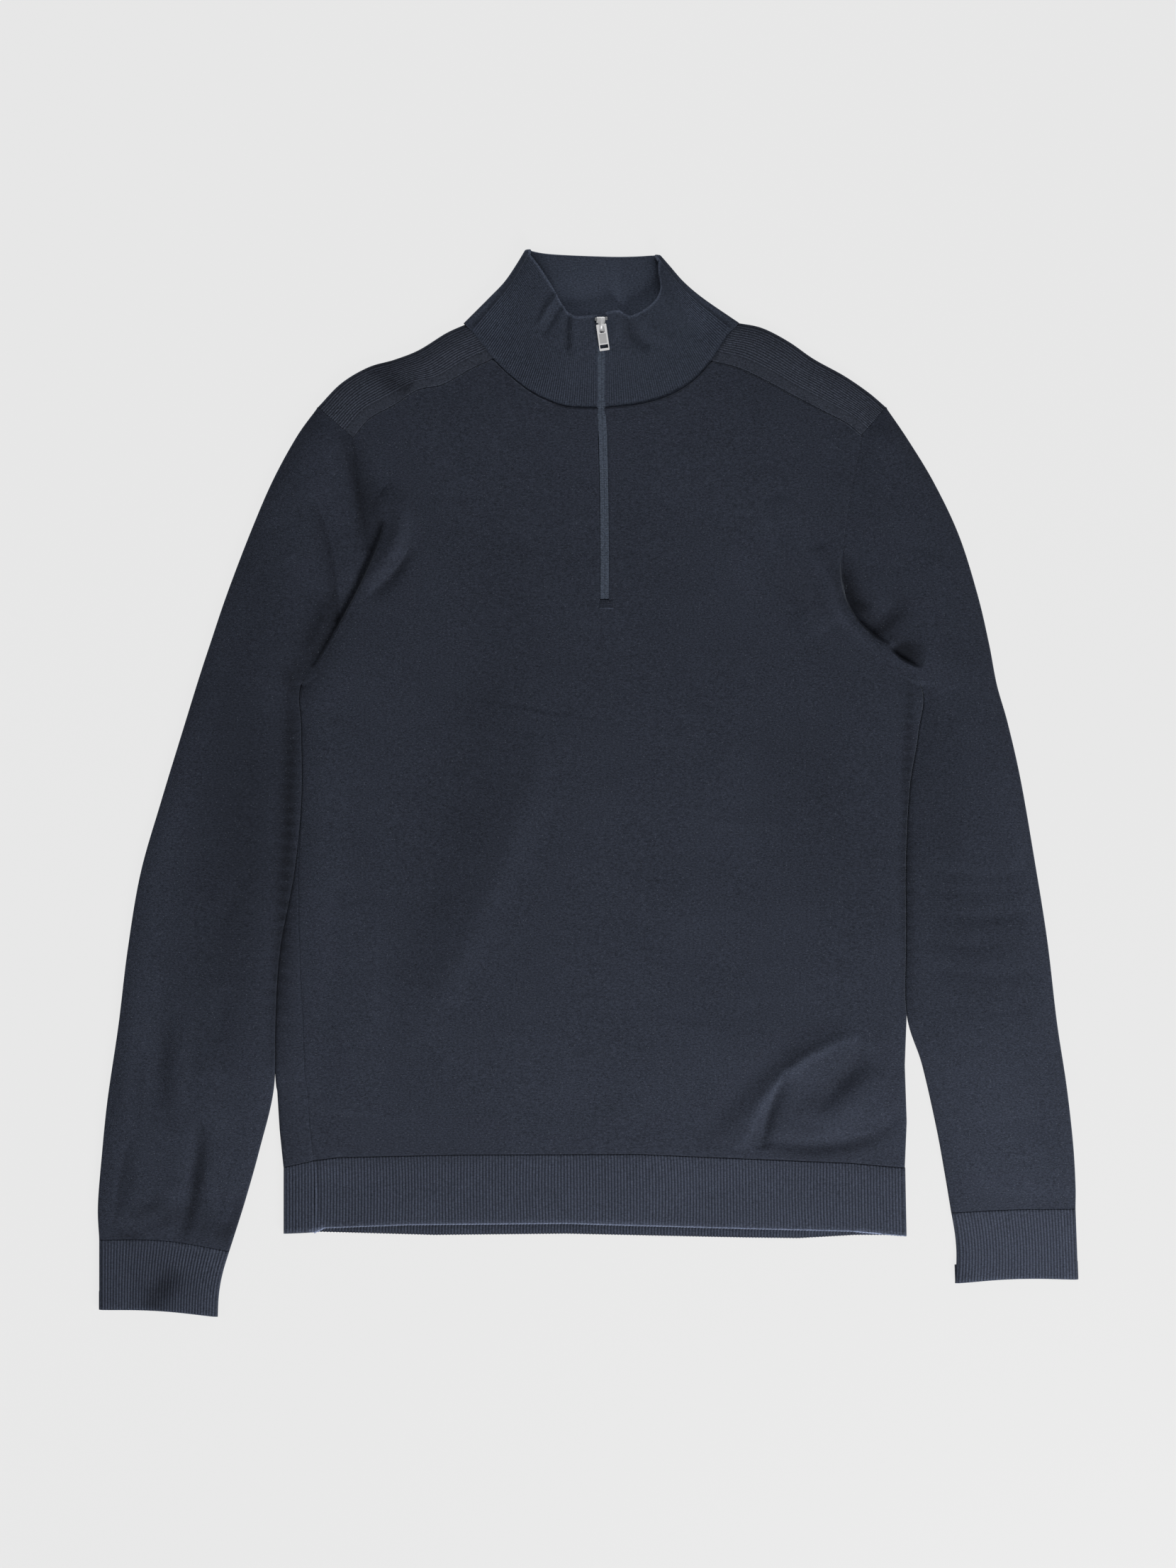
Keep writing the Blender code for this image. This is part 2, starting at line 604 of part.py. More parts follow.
def back_grid():
    """The back panel's outer points and normals, left seam to right seam round the underside."""
    t = BACK_STATIONS
    sides = {}
    laps = {side: lap_line(table) for side, table in YOKES.items()}
    for side in (-1, 1):
        edge = body_side(side, np.maximum(t, 0))
        edge[0] = laps[side][1]
        sides[side] = edge
    top = np.vstack([laps[-1][1], laps[-1].mean(axis=0), back_neck(), laps[1].mean(axis=0), laps[1][1]])
    share = (top[:, 0] - top[0, 0]) / (top[-1, 0] - top[0, 0])
    y = (sides[-1][:, 1] + sides[1][:, 1]) / 2
    down = (y[0] - y) / (y[0] - y[-1])
    inset = np.where(t >= UNDERARM, RIM, EDGE)
    points, normals = [], []

    def wrap(side):
        lap = np.interp(t, *np.array(SIDE_SEAM_LEFT).T) if side < 0 else np.zeros_like(t)
        inward = np.tile((-side * 1.0, 0.0), (len(t), 1))
        columns = []
        for along in back_wrap(lap)[:-1]:
            p, n = rim(sides[side], inward, along, RIM)
            from_side = np.abs(p[:, 0] - sides[side][:, 0]) - RIM
            p[:, 2] += lifted(p[:, :2], from_side) * (along >= QUARTER)
            columns.append((p, n))
        return columns

    for p, n in wrap(-1):
        points.append(p)
        normals.append(n)
    first = sides[-1] + np.outer(inset, (1.0, 0.0))
    last = sides[1] - np.outer(inset, (1.0, 0.0))
    for k, f in enumerate(share):
        top_shift = top[k] - mix(top[0], top[-1], f)
        xy = mix(first, last, f) + np.outer(1 - down, top_shift)
        points.append(np.column_stack([xy, np.zeros(len(t))]))
        normals.append(np.tile((0.0, 0.0, -1.0), (len(t), 1)))
    for p, n in reversed(wrap(1)):
        points.append(p)
        normals.append(n)
    outer = np.stack(points, axis=1)
    settle_on_hem(outer, down)
    outer[0, 4:-4, :2] = offset_line(outer[0, 4:-4, :2], -EDGE)
    outer[0, 4, 0] += EDGE
    outer[0, -5, 0] -= EDGE
    return outer, np.stack(normals, axis=1)


def lap_line(table):
    """A yoke's edge on the underside, as its neck and armhole ends."""
    ends = np.array((table[0], table[-1]), float)
    return mix(ends[:, :2], ends[:, 2:], LAP_SHARE)


def back_neck():
    """Plan points of the back neck seam, left to right."""
    points = (lap_line(YOKE_LEFT)[0], *NECK_BACK, lap_line(YOKE_RIGHT)[0])
    return even(points, np.linspace(0, 1, BACK_NECK_COLUMNS + 1))


def back_panel(material, collection):
    """The back, flat on z = 0 and lapped over the left side as far as the side seam."""
    outer, normals = back_grid()
    inner = outer - WALL * normals
    keep = np.ones((len(BACK_STATIONS) - 1, outer.shape[1] - 1), bool)
    start = list(BACK_STATIONS).index(UNDERARM)
    keep[:start, :4] = False
    keep[:start, -4:] = False
    return finish("back_panel", wall_solid(outer, inner, keep), material, collection)


# ---------------------------------------------------------------- hem and cuffs

def hem_back(material, collection):
    """The back's ribbed band: flat below, lapped over the left side like the back panel."""
    panel, normals = back_grid()
    seam = panel[-1] - np.array((0.0, 2 * EDGE, 0.0))
    left = seam[:, 0] < 0
    widening = np.where(left, np.diff(HEM_SIDE[-1]), np.diff(HEM_SIDE[1]))
    low = np.interp(seam[:, 0], *np.array(HEM_BACK).T)
    rows = [seam]
    for f in (0.5, 1.0):
        rows.append(np.column_stack([seam[:, 0] + f * widening, mix(seam[:, 1], low, f), seam[:, 2]]))
    outer = np.stack(rows)
    n = np.tile(normals[-1], (3, 1, 1))
    inner = outer - WALL * n
    keep = np.ones((2, outer.shape[1] - 1), bool)
    return finish("hem_back", wall_solid(outer, inner, keep), material, collection)


def hem_front(material, collection):
    """The front's ribbed band, one raised rib for each pitch, over a plain inside."""
    panel, _ = front_grid()
    seam_x, seam_y = panel[-1, :, 0], panel[-1, :, 1] - 2 * EDGE
    left, right = seam_x[0], seam_x[-3]
    ribs = int((right - left) / BAND_RIB)
    fold_x = HEM_SIDE[1][0] + 0.5 - CONTACT_GAP
    edges = (np.column_stack([(*seam_x[:-2], fold_x + 1), (*seam_y[:-2], seam_y[-1])]),
             np.array(HEM_FRONT))

    def band(columns, raised, depth):
        x = mix(left, right, columns)
        crest = RIB_DEPTH * (np.arange(len(x)) % 2) * raised
        rows = []
        for f, edge in enumerate(edges):
            xy = np.column_stack([x, np.interp(x, *edge.T)])
            air = lifted(xy, fold_x - x - RIM) * mix(1.0, HEM_EDGE_LIFT, f)
            top = np.column_stack([xy, 2 * RIM + air + crest - depth])
            turn = []
            for share in (0.5, 0.0):
                p, n = rim(np.array((fold_x + f, 0.0)), np.array((-1.0, 0.0)),
                           np.array(EDGE + share * QUARTER), RIM)
                p[1] = np.interp(p[0], *edge.T)
                turn.append(p - depth * n)
            rows.append(np.vstack([top, turn]))
        return np.stack(rows)

    fine = np.linspace(0, 1, 2 * ribs + 1)
    coarse = np.linspace(0, 1, int((right - left) / INSIDE_STEP))
    outer, inner = band(fine, True, 0.0), band(coarse, False, WALL)
    turned = (1.01, 1.02)
    bm = ribbed_solid(outer, inner, (*fine, *turned), (*coarse, *turned))
    return finish("hem_front", bm, material, collection)


def cuff(name, table, end, side, material, collection):
    """A ribbed cuff: a flat tube with ribs raised on its upper side."""
    start = table[-1]
    bulge = CUFF_BOW[side]
    width = math.dist(start[:2], start[2:])
    ribs = int((width - 2 * RIM) / BAND_RIB)

    def ring(f, columns, raised, depth):
        a = mix(np.array(start), np.array(end), f)
        if f == 0:
            a = a + EDGE * np.array((0.0, -1.0, 0.0, -1.0))
        outer_edge, inner_edge = a[:2], a[2:]
        inward = unit(inner_edge - outer_edge)
        row = []
        for k, g in enumerate(columns):
            xy = mix(outer_edge + inward * RIM, inner_edge - inward * RIM, g)
            xy = xy + np.array((0.0, bulge * (1 - f) * math.sin(math.pi * g)))
            side_gap = min(g, 1 - g) * (width - 2 * RIM)
            z = 2 * RIM + float(lifted(xy, side_gap)) + (RIB_DEPTH * (k % 2) if raised else 0) - depth
            row.append((*xy, z))
        for edge, way, angles in ((inner_edge, -inward, (30, -30)), (outer_edge, inward, (-30, 30))):
            for angle in angles:
                p, n = rim(edge, way, np.array(math.radians(angle) * RIM), RIM)
                row.append(tuple(p - depth * n))
            if angles[0] > 0:
                for g in (1.0, 0.5, 0.0):
                    xy = mix(outer_edge + inward * RIM, inner_edge - inward * RIM, g)
                    xy = xy + np.array((0.0, bulge * (1 - f) * math.sin(math.pi * g)))
                    row.append((*xy, depth))
        return row

    def stack(columns, raised, depth, levels):
        return np.array([ring(f, columns, raised, depth) for f in levels])

    fine = np.linspace(0, 1, 2 * ribs + 1)
    coarse = np.linspace(0, 1, 13)
    rest = (0.56, 0.6, 0.64, 0.75, 0.86, 0.9, 0.95)
    outer = stack(fine, True, 0.0, (0.0, 0.5, 1.0))
    inner = stack(coarse, False, WALL, (0.0, 1.0))
    bm = ribbed_solid(outer, inner, (*(fine * 0.5), *rest), (*(coarse * 0.5), *rest), wrap=True)
    return finish(name, bm, material, collection)


# ---------------------------------------------------------------- yokes

def yoke(name, table, material, collection):
    """A shoulder yoke: ribs along the shoulder, a plain band below, turned under at the shoulder."""
    rows = np.array(table, float)
    fold, seam = rows[:, :2], rows[:, 2:]
    inward = unit(seam - fold)
    stations = np.linspace(0, 1, len(rows))
    lap = mix(*lap_line(table), stations[:, None])
    depth_across = np.linalg.norm(seam - fold, axis=1)
    mid_width = float(np.median(depth_across))
    ribs = int(mid_width * YOKE_RIB_SHARE / FINE_RIB)

    def across(shares, raised, thick):
        columns = []
        for k, share in enumerate(shares):
            inset = RIM + (depth_across - RIM - EDGE) * share
            xy = fold + inward * inset[:, None]
            crest = RIB_DEPTH * (k % 2) if raised and share <= YOKE_RIB_SHARE else 0.0
            z = 2 * RIM + lifted(xy, inset - RIM) + crest - thick
            columns.append(np.column_stack([xy, z]))
        return columns

    def grid(shares, raised, thick):
        under = []
        for f in (0.0, 1.0):
            xy = mix(lap, fold + inward * RIM, f)
            under.append(np.column_stack([xy, np.full(len(rows), thick)]))
        turn = []
        for angle in (-30, 30):
            p, n = rim(fold, inward, np.full(len(rows), math.radians(angle) * RIM), RIM)
            turn.append(p - thick * n)
        points = np.stack(under + turn + across(shares, raised, thick), axis=1)
        for end, before in ((0, 1), (-1, -2)):
            step = unit(points[before] - points[end])
            step[:, 2] = 0
            points[end] = points[end] + EDGE * step
        return points

    fine = np.concatenate([np.linspace(0, YOKE_RIB_SHARE, 2 * ribs + 1), (0.87, 1.0)])
    coarse = np.linspace(0, 1, int(mid_width / INSIDE_STEP) + 2)
    outer, inner = grid(fine, True, 0.0), grid(coarse, False, WALL)
    start = (-0.4, -0.3, -0.2, -0.1)
    bm = ribbed_solid(outer, inner, (*start, *fine), (*start, *coarse))
    return finish(name, bm, material, collection)


# ---------------------------------------------------------------- collar

def neck_seam(side, shares):
    """The front neck seam from the zip to the collar's side, at shares of its length."""
    line = np.vstack([front_top(side)[:-NECK_COLUMNS - 2:-1], YOKES[side][0][:2]])
    line = offset_line(line, side * EDGE)
    run = np.concatenate([[0.0], np.cumsum(np.linalg.norm(np.diff(line, axis=0), axis=1))])
    at = np.asarray(shares) * run[-1]
    return np.column_stack([np.interp(at, run, line[:, k]) for k in (0, 1)])


def collar_front(side, shares, heights):
    """Plan points of a collar front: rows of heights, columns from the zip (0) to the side (1)."""
    low = neck_seam(side, shares)
    high = even(COLLAR_TOP[side], shares)
    edge = even(COLLAR_SIDE[side], heights)
    rows = []
    for k, h in enumerate(heights):
        straight = mix(low, high, h)
        bend = edge[k] - mix(edge[0], edge[-1], h)
        rows.append(straight + np.outer(np.asarray(shares) ** 3, bend))
    return np.stack(rows)


def collar_height(shares, heights, side):
    """Height of a collar front's outer face over z = 0, before ribs."""
    shares, heights = np.asarray(shares)[None, :], np.asarray(heights)[:, None]
    off_side = np.clip((1 - shares) / SIDE_MARGIN, 0, 1)
    pleat = PLEAT_DEPTH * np.exp(-((shares - PLEAT[side]) / PLEAT_WIDTH) ** 2)
    pleat = pleat * np.sqrt(np.sin(math.pi * heights).clip(0))
    rise = mix(COLLAR_START, COLLAR_STAND, np.sin(heights * math.pi / 2)) - pleat
    return 2 * COLLAR_RIM + rise * off_side * (2 - off_side)


COLLAR_LEVELS = (0.0, 0.12, 0.5, 0.85, 1.0)
COLLAR_RUN = 122.0           # a front's length along the neck seam
LAST_COLUMN = 1 - 6.5 / COLLAR_RUN


def side_fold(side, levels):
    """The collar's outermost line at one side, and the way inward, square to it."""
    edge = even(COLLAR_SIDE[side], levels)
    ahead = np.gradient(edge, axis=0)
    return edge, -side * unit(np.column_stack([ahead[:, 1], -ahead[:, 0]]))


def collar_side(side, columns, levels, raised, depth):
    """One front of the collar, its turn round the side, and where it meets the back."""
    xy = collar_front(side, columns, levels)
    edge, inward = side_fold(side, levels)
    xy[:, -1] = edge + inward * COLLAR_RIM
    crest = RIB_DEPTH * (np.arange(len(columns)) % 2) * raised
    fade = 1 - COLLAR_RIB_FADE * np.asarray(levels)[:, None]
    z = collar_height(columns, levels, side) + crest * fade - depth
    top = np.concatenate([xy, z[..., None]], axis=2)
    turn = []
    for angle in (30, -30):
        p, n = rim(edge, inward, np.full(len(levels), math.radians(angle) * COLLAR_RIM), COLLAR_RIM)
        turn.append(p - depth * n)
    turn.append(np.column_stack([xy[:, -1], np.full(len(levels), depth)]))
    return top, np.stack(turn, axis=1)


def collar_ring(columns, levels, raised, depth):
    """The collar's points from one zip edge round the back to the other."""
    left_top, left_turn = collar_side(-1, columns, levels, raised, depth)
    right_top, right_turn = collar_side(1, columns, levels, raised, depth)
    low = offset_line(back_neck(), EDGE)
    shares = np.linspace(0, 1, len(low))
    high = even(COLLAR_BACK_TOP, mix(BACK_TOP_FROM, 1 - BACK_TOP_FROM, shares))
    heights = np.array(levels)[:, None, None]
    plan = mix(low, high, heights)
    for side, weight in ((-1, (1 - shares) ** 3), (1, shares ** 3)):
        fold = side_fold(side, levels)[0][:, None]
        plan = plan + weight[:, None] * (fold - mix(fold[0], fold[-1], heights))
    back = np.concatenate([plan, np.full((*plan.shape[:2], 1), depth)], axis=2)
    return np.concatenate([left_top, left_turn, back, right_turn[:, ::-1], right_top[:, ::-1]], axis=1)


def collar(material, collection):
    """The funnel: a doubled ribbed band, ribs raised on its two fronts."""
    ribs = int(LAST_COLUMN * COLLAR_RUN / FINE_RIB)
    fine = (*np.linspace(0, LAST_COLUMN, 2 * ribs + 1), 1.0)
    coarse = (*np.linspace(0, LAST_COLUMN, int(COLLAR_RUN / COLLAR_INSIDE_STEP)), 1.0)
    outer = collar_ring(fine, COLLAR_LEVELS, True, 0.0)
    inner = collar_ring(coarse, COLLAR_LEVELS, False, COLLAR_WALL)
    between = np.linspace(1.01, 1.99, BACK_NECK_COLUMNS + 7)
    scales = [(*columns, *between, *(3 - np.array(columns)[::-1])) for columns in (fine, coarse)]
    return finish("collar", ribbed_solid(outer, inner, *scales), material, collection)


# ---------------------------------------------------------------- zip

def face_height(y):
    """Height of the outer face beside the zip at heights y: the panel's, then the collar's."""
    y = np.atleast_1d(np.asarray(y, float))
    panel = 2 * RIM + lifted(np.column_stack([zip_x(y), y]), LOFT_REACH)
    up = np.clip((y - ZIP_NECK_Y) / (ZIP_TOP_Y - ZIP_NECK_Y), 0, 1)
    band = collar_height((0.0,), up, -1)[:, 0]
    return mix(panel, band, np.clip((y - ZIP_NECK_Y + 6) / 12, 0, 1))


def zip_tape(name, side, material, collection):
    """One half of the tape, from the end of the slit to the collar's edge."""
    y = np.linspace(ZIP_END_Y + SEAM_GAP, ZIP_TOP_Y, 16)
    z = face_height(y) - TAPE_SUNK
    columns = [np.column_stack([zip_x(y) + side * off, y, z]) for off in (EDGE, TAPE_HALF)]
    outer = np.stack(columns, axis=1)
    inner = outer - np.array((0.0, 0.0, TAPE_THICK))
    keep = np.ones((len(y) - 1, 1), bool)
    return finish(name, wall_solid(outer, inner, keep), material, collection)


def block(name, size, place, material, collection, bevel):
    """A small box with rounded edges, resting with its underside at place."""
    bm = bmesh.new()
    bmesh.ops.create_cube(bm, size=1.0)
    bmesh.ops.scale(bm, vec=size, verts=bm.verts)
    bmesh.ops.translate(bm, vec=(place[0], place[1], place[2] + size[2] / 2), verts=bm.verts)
    obj = finish(name, bm, material, collection)
    edge = obj.modifiers.new("rounded", "BEVEL")
    edge.width = bevel * MM
    edge.segments = 2
    return obj


def zip_trim(tape_material, metal, collection):
    """The stitched tack under the slit and the two stops beside the slider."""
    tack_y = ZIP_END_Y - TACK_BELOW_SLIT
    tack_z = float(face_height((tack_y, tack_y - 3, tack_y + 3)).max()) + SEAM_GAP
    tack_x = float(zip_x(ZIP_END_Y)) + TACK_TO_RIGHT
    block("zip_end_tack", TACK, (tack_x, tack_y, tack_z), tape_material, collection, 0.4)
    for side, name in ((-1, "zip_stop_left"), (1, "zip_stop_right")):
        y = ZIP_TOP_Y - STOP[1] / 2 + (STOP_STAGGER if side > 0 else 0.0)
        place = (float(zip_x(y)) + side * STOP_OFF_LINE, y, float(face_height(y)[0]) + SEAM_GAP)
        block(name, STOP, place, metal, collection, 0.3)


def hinge_point():
    """The pull's axis, in mm."""
    plate = float(face_height(ZIP_TOP_Y)[0]) - TAPE_SUNK + SEAM_GAP + SLIDER[2]
    return Vector((float(zip_x(HINGE_Y)), HINGE_Y, plate + HINGE_RISE))


def curve_solid(curve_object):
    """Turn a curve into a mesh object of the same name, with its caps welded on."""
    depsgraph = bpy.context.evaluated_depsgraph_get()
    mesh = bpy.data.meshes.new_from_object(curve_object.evaluated_get(depsgraph))
    bm = bmesh.new()
    bm.from_mesh(mesh)
    bmesh.ops.remove_doubles(bm, verts=bm.verts, dist=0.00001)
    bm.to_mesh(mesh)
    bm.free()
    solid = bpy.data.objects.new(curve_object.name, mesh)
    solid.matrix_world = curve_object.matrix_world.copy()
    bpy.data.objects.remove(curve_object, do_unlink=True)
    return solid


def zip_slider(metal, collection, cutters):
    """The slider's plate, narrower at the crown, with the bridge that holds the pull."""
    hinge = hinge_point()
    top_y = ZIP_TOP_Y + CROWN_OVER_TAPE
    plate_z = hinge.z - HINGE_RISE
    bm = bmesh.new()
    bmesh.ops.create_cube(bm, size=1.0)
    bmesh.ops.scale(bm, vec=SLIDER, verts=bm.verts)
    for vert in bm.verts:
        if vert.co.y > 0:
            vert.co.x *= CROWN_TAPER
    bmesh.ops.translate(bm, vec=(hinge.x, top_y - SLIDER[1] / 2, plate_z - SLIDER[2] / 2),
                        verts=bm.verts)
    bmesh.ops.bevel(bm, geom=bm.edges[:], offset=0.35, segments=2, affect="EDGES", profile=0.5)
    slider = finish("zip_slider", bm, metal, collection)

    front, rear = HINGE_Y - BRIDGE_FEET[0], top_y - BRIDGE_FEET[1]
    high = hinge.z + HINGE_RISE + BRIDGE_WIRE + 0.1
    route = even(((front, plate_z - 0.5), (front, plate_z + 1.2), (front + 0.9, high - 0.3),
                  (HINGE_Y + 0.6, high), (HINGE_Y + 3.4, high - 0.9), (rear, plate_z - 0.5)),
                 np.linspace(0, 1, 15))
    data = bpy.data.curves.new("bridge", "CURVE")
    data.dimensions = "3D"
    data.bevel_depth = BRIDGE_WIRE * MM
    data.bevel_resolution = 2
    data.use_fill_caps = True
    spline = data.splines.new("POLY")
    spline.points.add(len(route) - 1)
    for point, (y, z) in zip(spline.points, route):
        point.co = (hinge.x * MM, y * MM, z * MM, 1.0)
    wire = bpy.data.objects.new("bridge", data)
    cutters.objects.link(wire)
    bridge = curve_solid(wire)
    cutters.objects.link(bridge)
    bridge.hide_render = True
    bridge.display_type = "WIRE"
    union = slider.modifiers.new("bridge", "BOOLEAN")
    union.operation = "UNION"
    union.object = bridge
    return slider


def rounded_rectangle(spline, width, low, high, radius):
    """Fill a cyclic POLY spline with a rectangle of rounded corners, centred on x = 0."""
    right, top, bottom = width / 2 - radius, high - radius, low + radius
    points = []
    for turn, (x, y) in enumerate(((right, top), (right, bottom), (-right, bottom), (-right, top))):
        for step in range(4):
            angle = math.radians(90 - 90 * turn - 30 * step)
            points.append((x + radius * math.cos(angle), y + radius * math.sin(angle)))
    spline.points.add(len(points) - 1)
    for point, (x, y) in zip(spline.points, points):
        point.co = (x * MM, y * MM, 0.0, 1.0)
    spline.use_cyclic_u = True


def zip_pull(metal, collection):
    """The pull tab, its bar on the hinge and its free end lying on the collar."""
    data = bpy.data.curves.new("zip_pull", "CURVE")
    data.dimensions = "2D"
    data.fill_mode = "BOTH"
    data.extrude = PULL[2] / 2 * MM
    top = BAR / 2
    window = -WINDOW_FROM_HINGE - PULL_WINDOW[1] / 2
    for width, low, high, radius in ((PULL[0], top - PULL[1], top, 0.6),
                                     (PULL_EYE[0], -top - PULL_EYE[1], -top, 1.1),
                                     (PULL_WINDOW[0], window, window + PULL_WINDOW[1], 0.4)):
        rounded_rectangle(data.splines.new("POLY"), width, low, high, radius)
    flat = bpy.data.objects.new("zip_pull", data)
    collection.objects.link(flat)
    pull = curve_solid(flat)
    pull.name = "zip_pull"
    pull.data.materials.append(metal)
    collection.objects.link(pull)
    pull.matrix_world = (Matrix.Translation(hinge_point() * MM)
                         @ Matrix.Rotation(PULL_TILT, 4, "Z") @ Matrix.Rotation(PULL_DROP, 4, "X"))
    return pull


def build():
    """Clear the scene and model the sweater."""
    for obj in list(bpy.data.objects):
        bpy.data.objects.remove(obj, do_unlink=True)
    collection = bpy.data.collections.new(COLLECTION)
    bpy.context.scene.collection.children.link(collection)
    cutters = bpy.data.collections.new("cutters")
    bpy.context.scene.collection.children.link(cutters)
    knit = cloth_material("knit", KNIT)
    rib = cloth_material("rib_knit", RIB_KNIT)
    tape = cloth_material("zip_tape", TAPE_CLOTH)
    metal = cloth_material("nickel", NICKEL, roughness=0.3, metallic=1.0)
    front_panel(knit, collection)
    back_panel(knit, collection)
    sleeve("sleeve_left", SLEEVE_LEFT, -1, knit, collection)
    sleeve("sleeve_right", SLEEVE_RIGHT, 1, knit, collection)
    hem_front(rib, collection)
    hem_back(rib, collection)
    cuff("cuff_left", SLEEVE_LEFT, CUFF_LEFT_END, -1, rib, collection)
    cuff("cuff_right", SLEEVE_RIGHT, CUFF_RIGHT_END, 1, rib, collection)
    yoke("yoke_left", YOKE_LEFT, rib, collection)
    yoke("yoke_right", YOKE_RIGHT, rib, collection)
    collar(rib, collection)
    zip_tape("zip_tape_left", -1, tape, collection)
    zip_tape("zip_tape_right", 1, tape, collection)
    zip_trim(tape, metal, collection)
    zip_slider(metal, collection, cutters)
    zip_pull(metal, collection)


build()
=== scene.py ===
"""Looks of a half-zip fine-knit sweater with a ribbed funnel collar, laid flat with its front up.

Tables are in millimetres in the frame's plan: +Y is towards the collar, +X the picture's right.
Each cloth piece is a fine grid on its solid's form, with its folds, ribs and rolled seam edges.
"""
import logging
import math
from contextlib import contextmanager
from dataclasses import dataclass
from enum import Enum
from typing import Iterator, NamedTuple, Optional, Sequence

import bpy
import numpy as np
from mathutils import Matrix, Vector
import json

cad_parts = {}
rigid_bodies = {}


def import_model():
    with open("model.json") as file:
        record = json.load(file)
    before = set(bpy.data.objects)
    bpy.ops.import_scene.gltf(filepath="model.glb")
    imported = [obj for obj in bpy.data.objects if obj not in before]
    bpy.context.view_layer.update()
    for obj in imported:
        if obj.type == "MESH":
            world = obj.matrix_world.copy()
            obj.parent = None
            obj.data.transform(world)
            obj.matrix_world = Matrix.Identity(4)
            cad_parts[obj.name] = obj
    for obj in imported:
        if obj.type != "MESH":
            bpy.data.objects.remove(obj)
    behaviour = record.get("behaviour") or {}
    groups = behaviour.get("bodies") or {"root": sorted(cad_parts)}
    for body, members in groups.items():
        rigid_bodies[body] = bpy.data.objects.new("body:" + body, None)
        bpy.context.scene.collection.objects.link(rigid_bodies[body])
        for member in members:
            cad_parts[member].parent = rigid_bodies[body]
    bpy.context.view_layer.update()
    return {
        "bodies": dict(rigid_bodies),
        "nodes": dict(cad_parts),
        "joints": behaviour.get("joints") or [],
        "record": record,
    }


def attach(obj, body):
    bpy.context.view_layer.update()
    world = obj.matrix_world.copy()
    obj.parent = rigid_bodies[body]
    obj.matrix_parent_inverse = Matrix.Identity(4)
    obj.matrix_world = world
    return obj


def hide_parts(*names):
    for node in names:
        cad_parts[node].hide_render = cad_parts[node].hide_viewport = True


MM = 0.001
BODY = "garment"
log = logging.getLogger("half_zip_sweater")
Array = np.ndarray


class Side(Enum):
    """A side of the garment, as the picture shows it."""

    LEFT = -1
    RIGHT = 1

    @property
    def word(self) -> str:
        """The side's name in piece names."""
        return self.name.lower()


class Held(Enum):
    """How a cut piece of cloth lies."""

    LAID = "laid"
    FOLDED = "folded"


# ---------------------------------------------------------------- sizes

SEAM_GAP = 0.3               # between the tape's end and the tack
WALL = 1.6                   # jersey
RIM = 2.4                    # outer radius where a flat tube turns over at its side
QUARTER = math.pi * RIM / 2
COLLAR_WALL = 2.6            # doubled rib
COLLAR_RIM = 3.2
LOFT = 1.5                   # air that lifts the front layer off the back one
LOFT_REACH = 14.0            # the lift fades out within this of a side
BODY_CROWN = 2.2             # the body's middle stands this much higher than its sides
BODY_MIDDLE = 6.0
BODY_HALF = 248.0
BODY_LOW = -352.0            # the crown fades out down to here
CROWN_FADE = 60.0
SLEEVE_CROWN = 3.2
PRESSED = 0.15               # sleeve and body press together along their sides
PLAIN = 0.6                  # crest value of cloth without ribs
BAND_RIB = 2.42              # rib pitch of hem and cuffs
FINE_RIB = 1.9               # rib pitch of collar and yokes
UNDERARM = 6                 # station where the armhole ends and the sleeve's own fold starts
APEX = 11                    # station where sleeve and body part
HEM_STATION = 14             # the hem's seam
SLEEVE_END = 15              # the cuff's seam
ZIP_TOP_Y = 360.5
ZIP_NECK_Y = 291.2
ZIP_END_Y = 143.0
HEM_MIDDLE_Y = -287.0        # the hem's seam below the zip
COLLAR_LOW = 0.6             # the collar's front over its rims, at its seam
COLLAR_HIGH = 4.0            # and at its free edge


class Section(NamedTuple):
    """One section across a sleeve, from its outer fold to the armhole seam or the inner fold."""

    outer_x: float
    outer_y: float
    inner_x: float
    inner_y: float


class YokeSection(NamedTuple):
    """One section across a yoke, from the shoulder fold to the seam with the front panel."""

    fold_x: float
    fold_y: float
    seam_x: float
    seam_y: float


class Fold(NamedTuple):
    """A soft ridge (height > 0) or trough (height < 0) along start, middle and end.

    A sided one ends sharply on its line: 1 keeps what lies to the left of its way, -1 to the right.
    """

    x0: float
    y0: float
    x1: float
    y1: float
    x2: float
    y2: float
    width: float
    height: float
    sided: int = 0


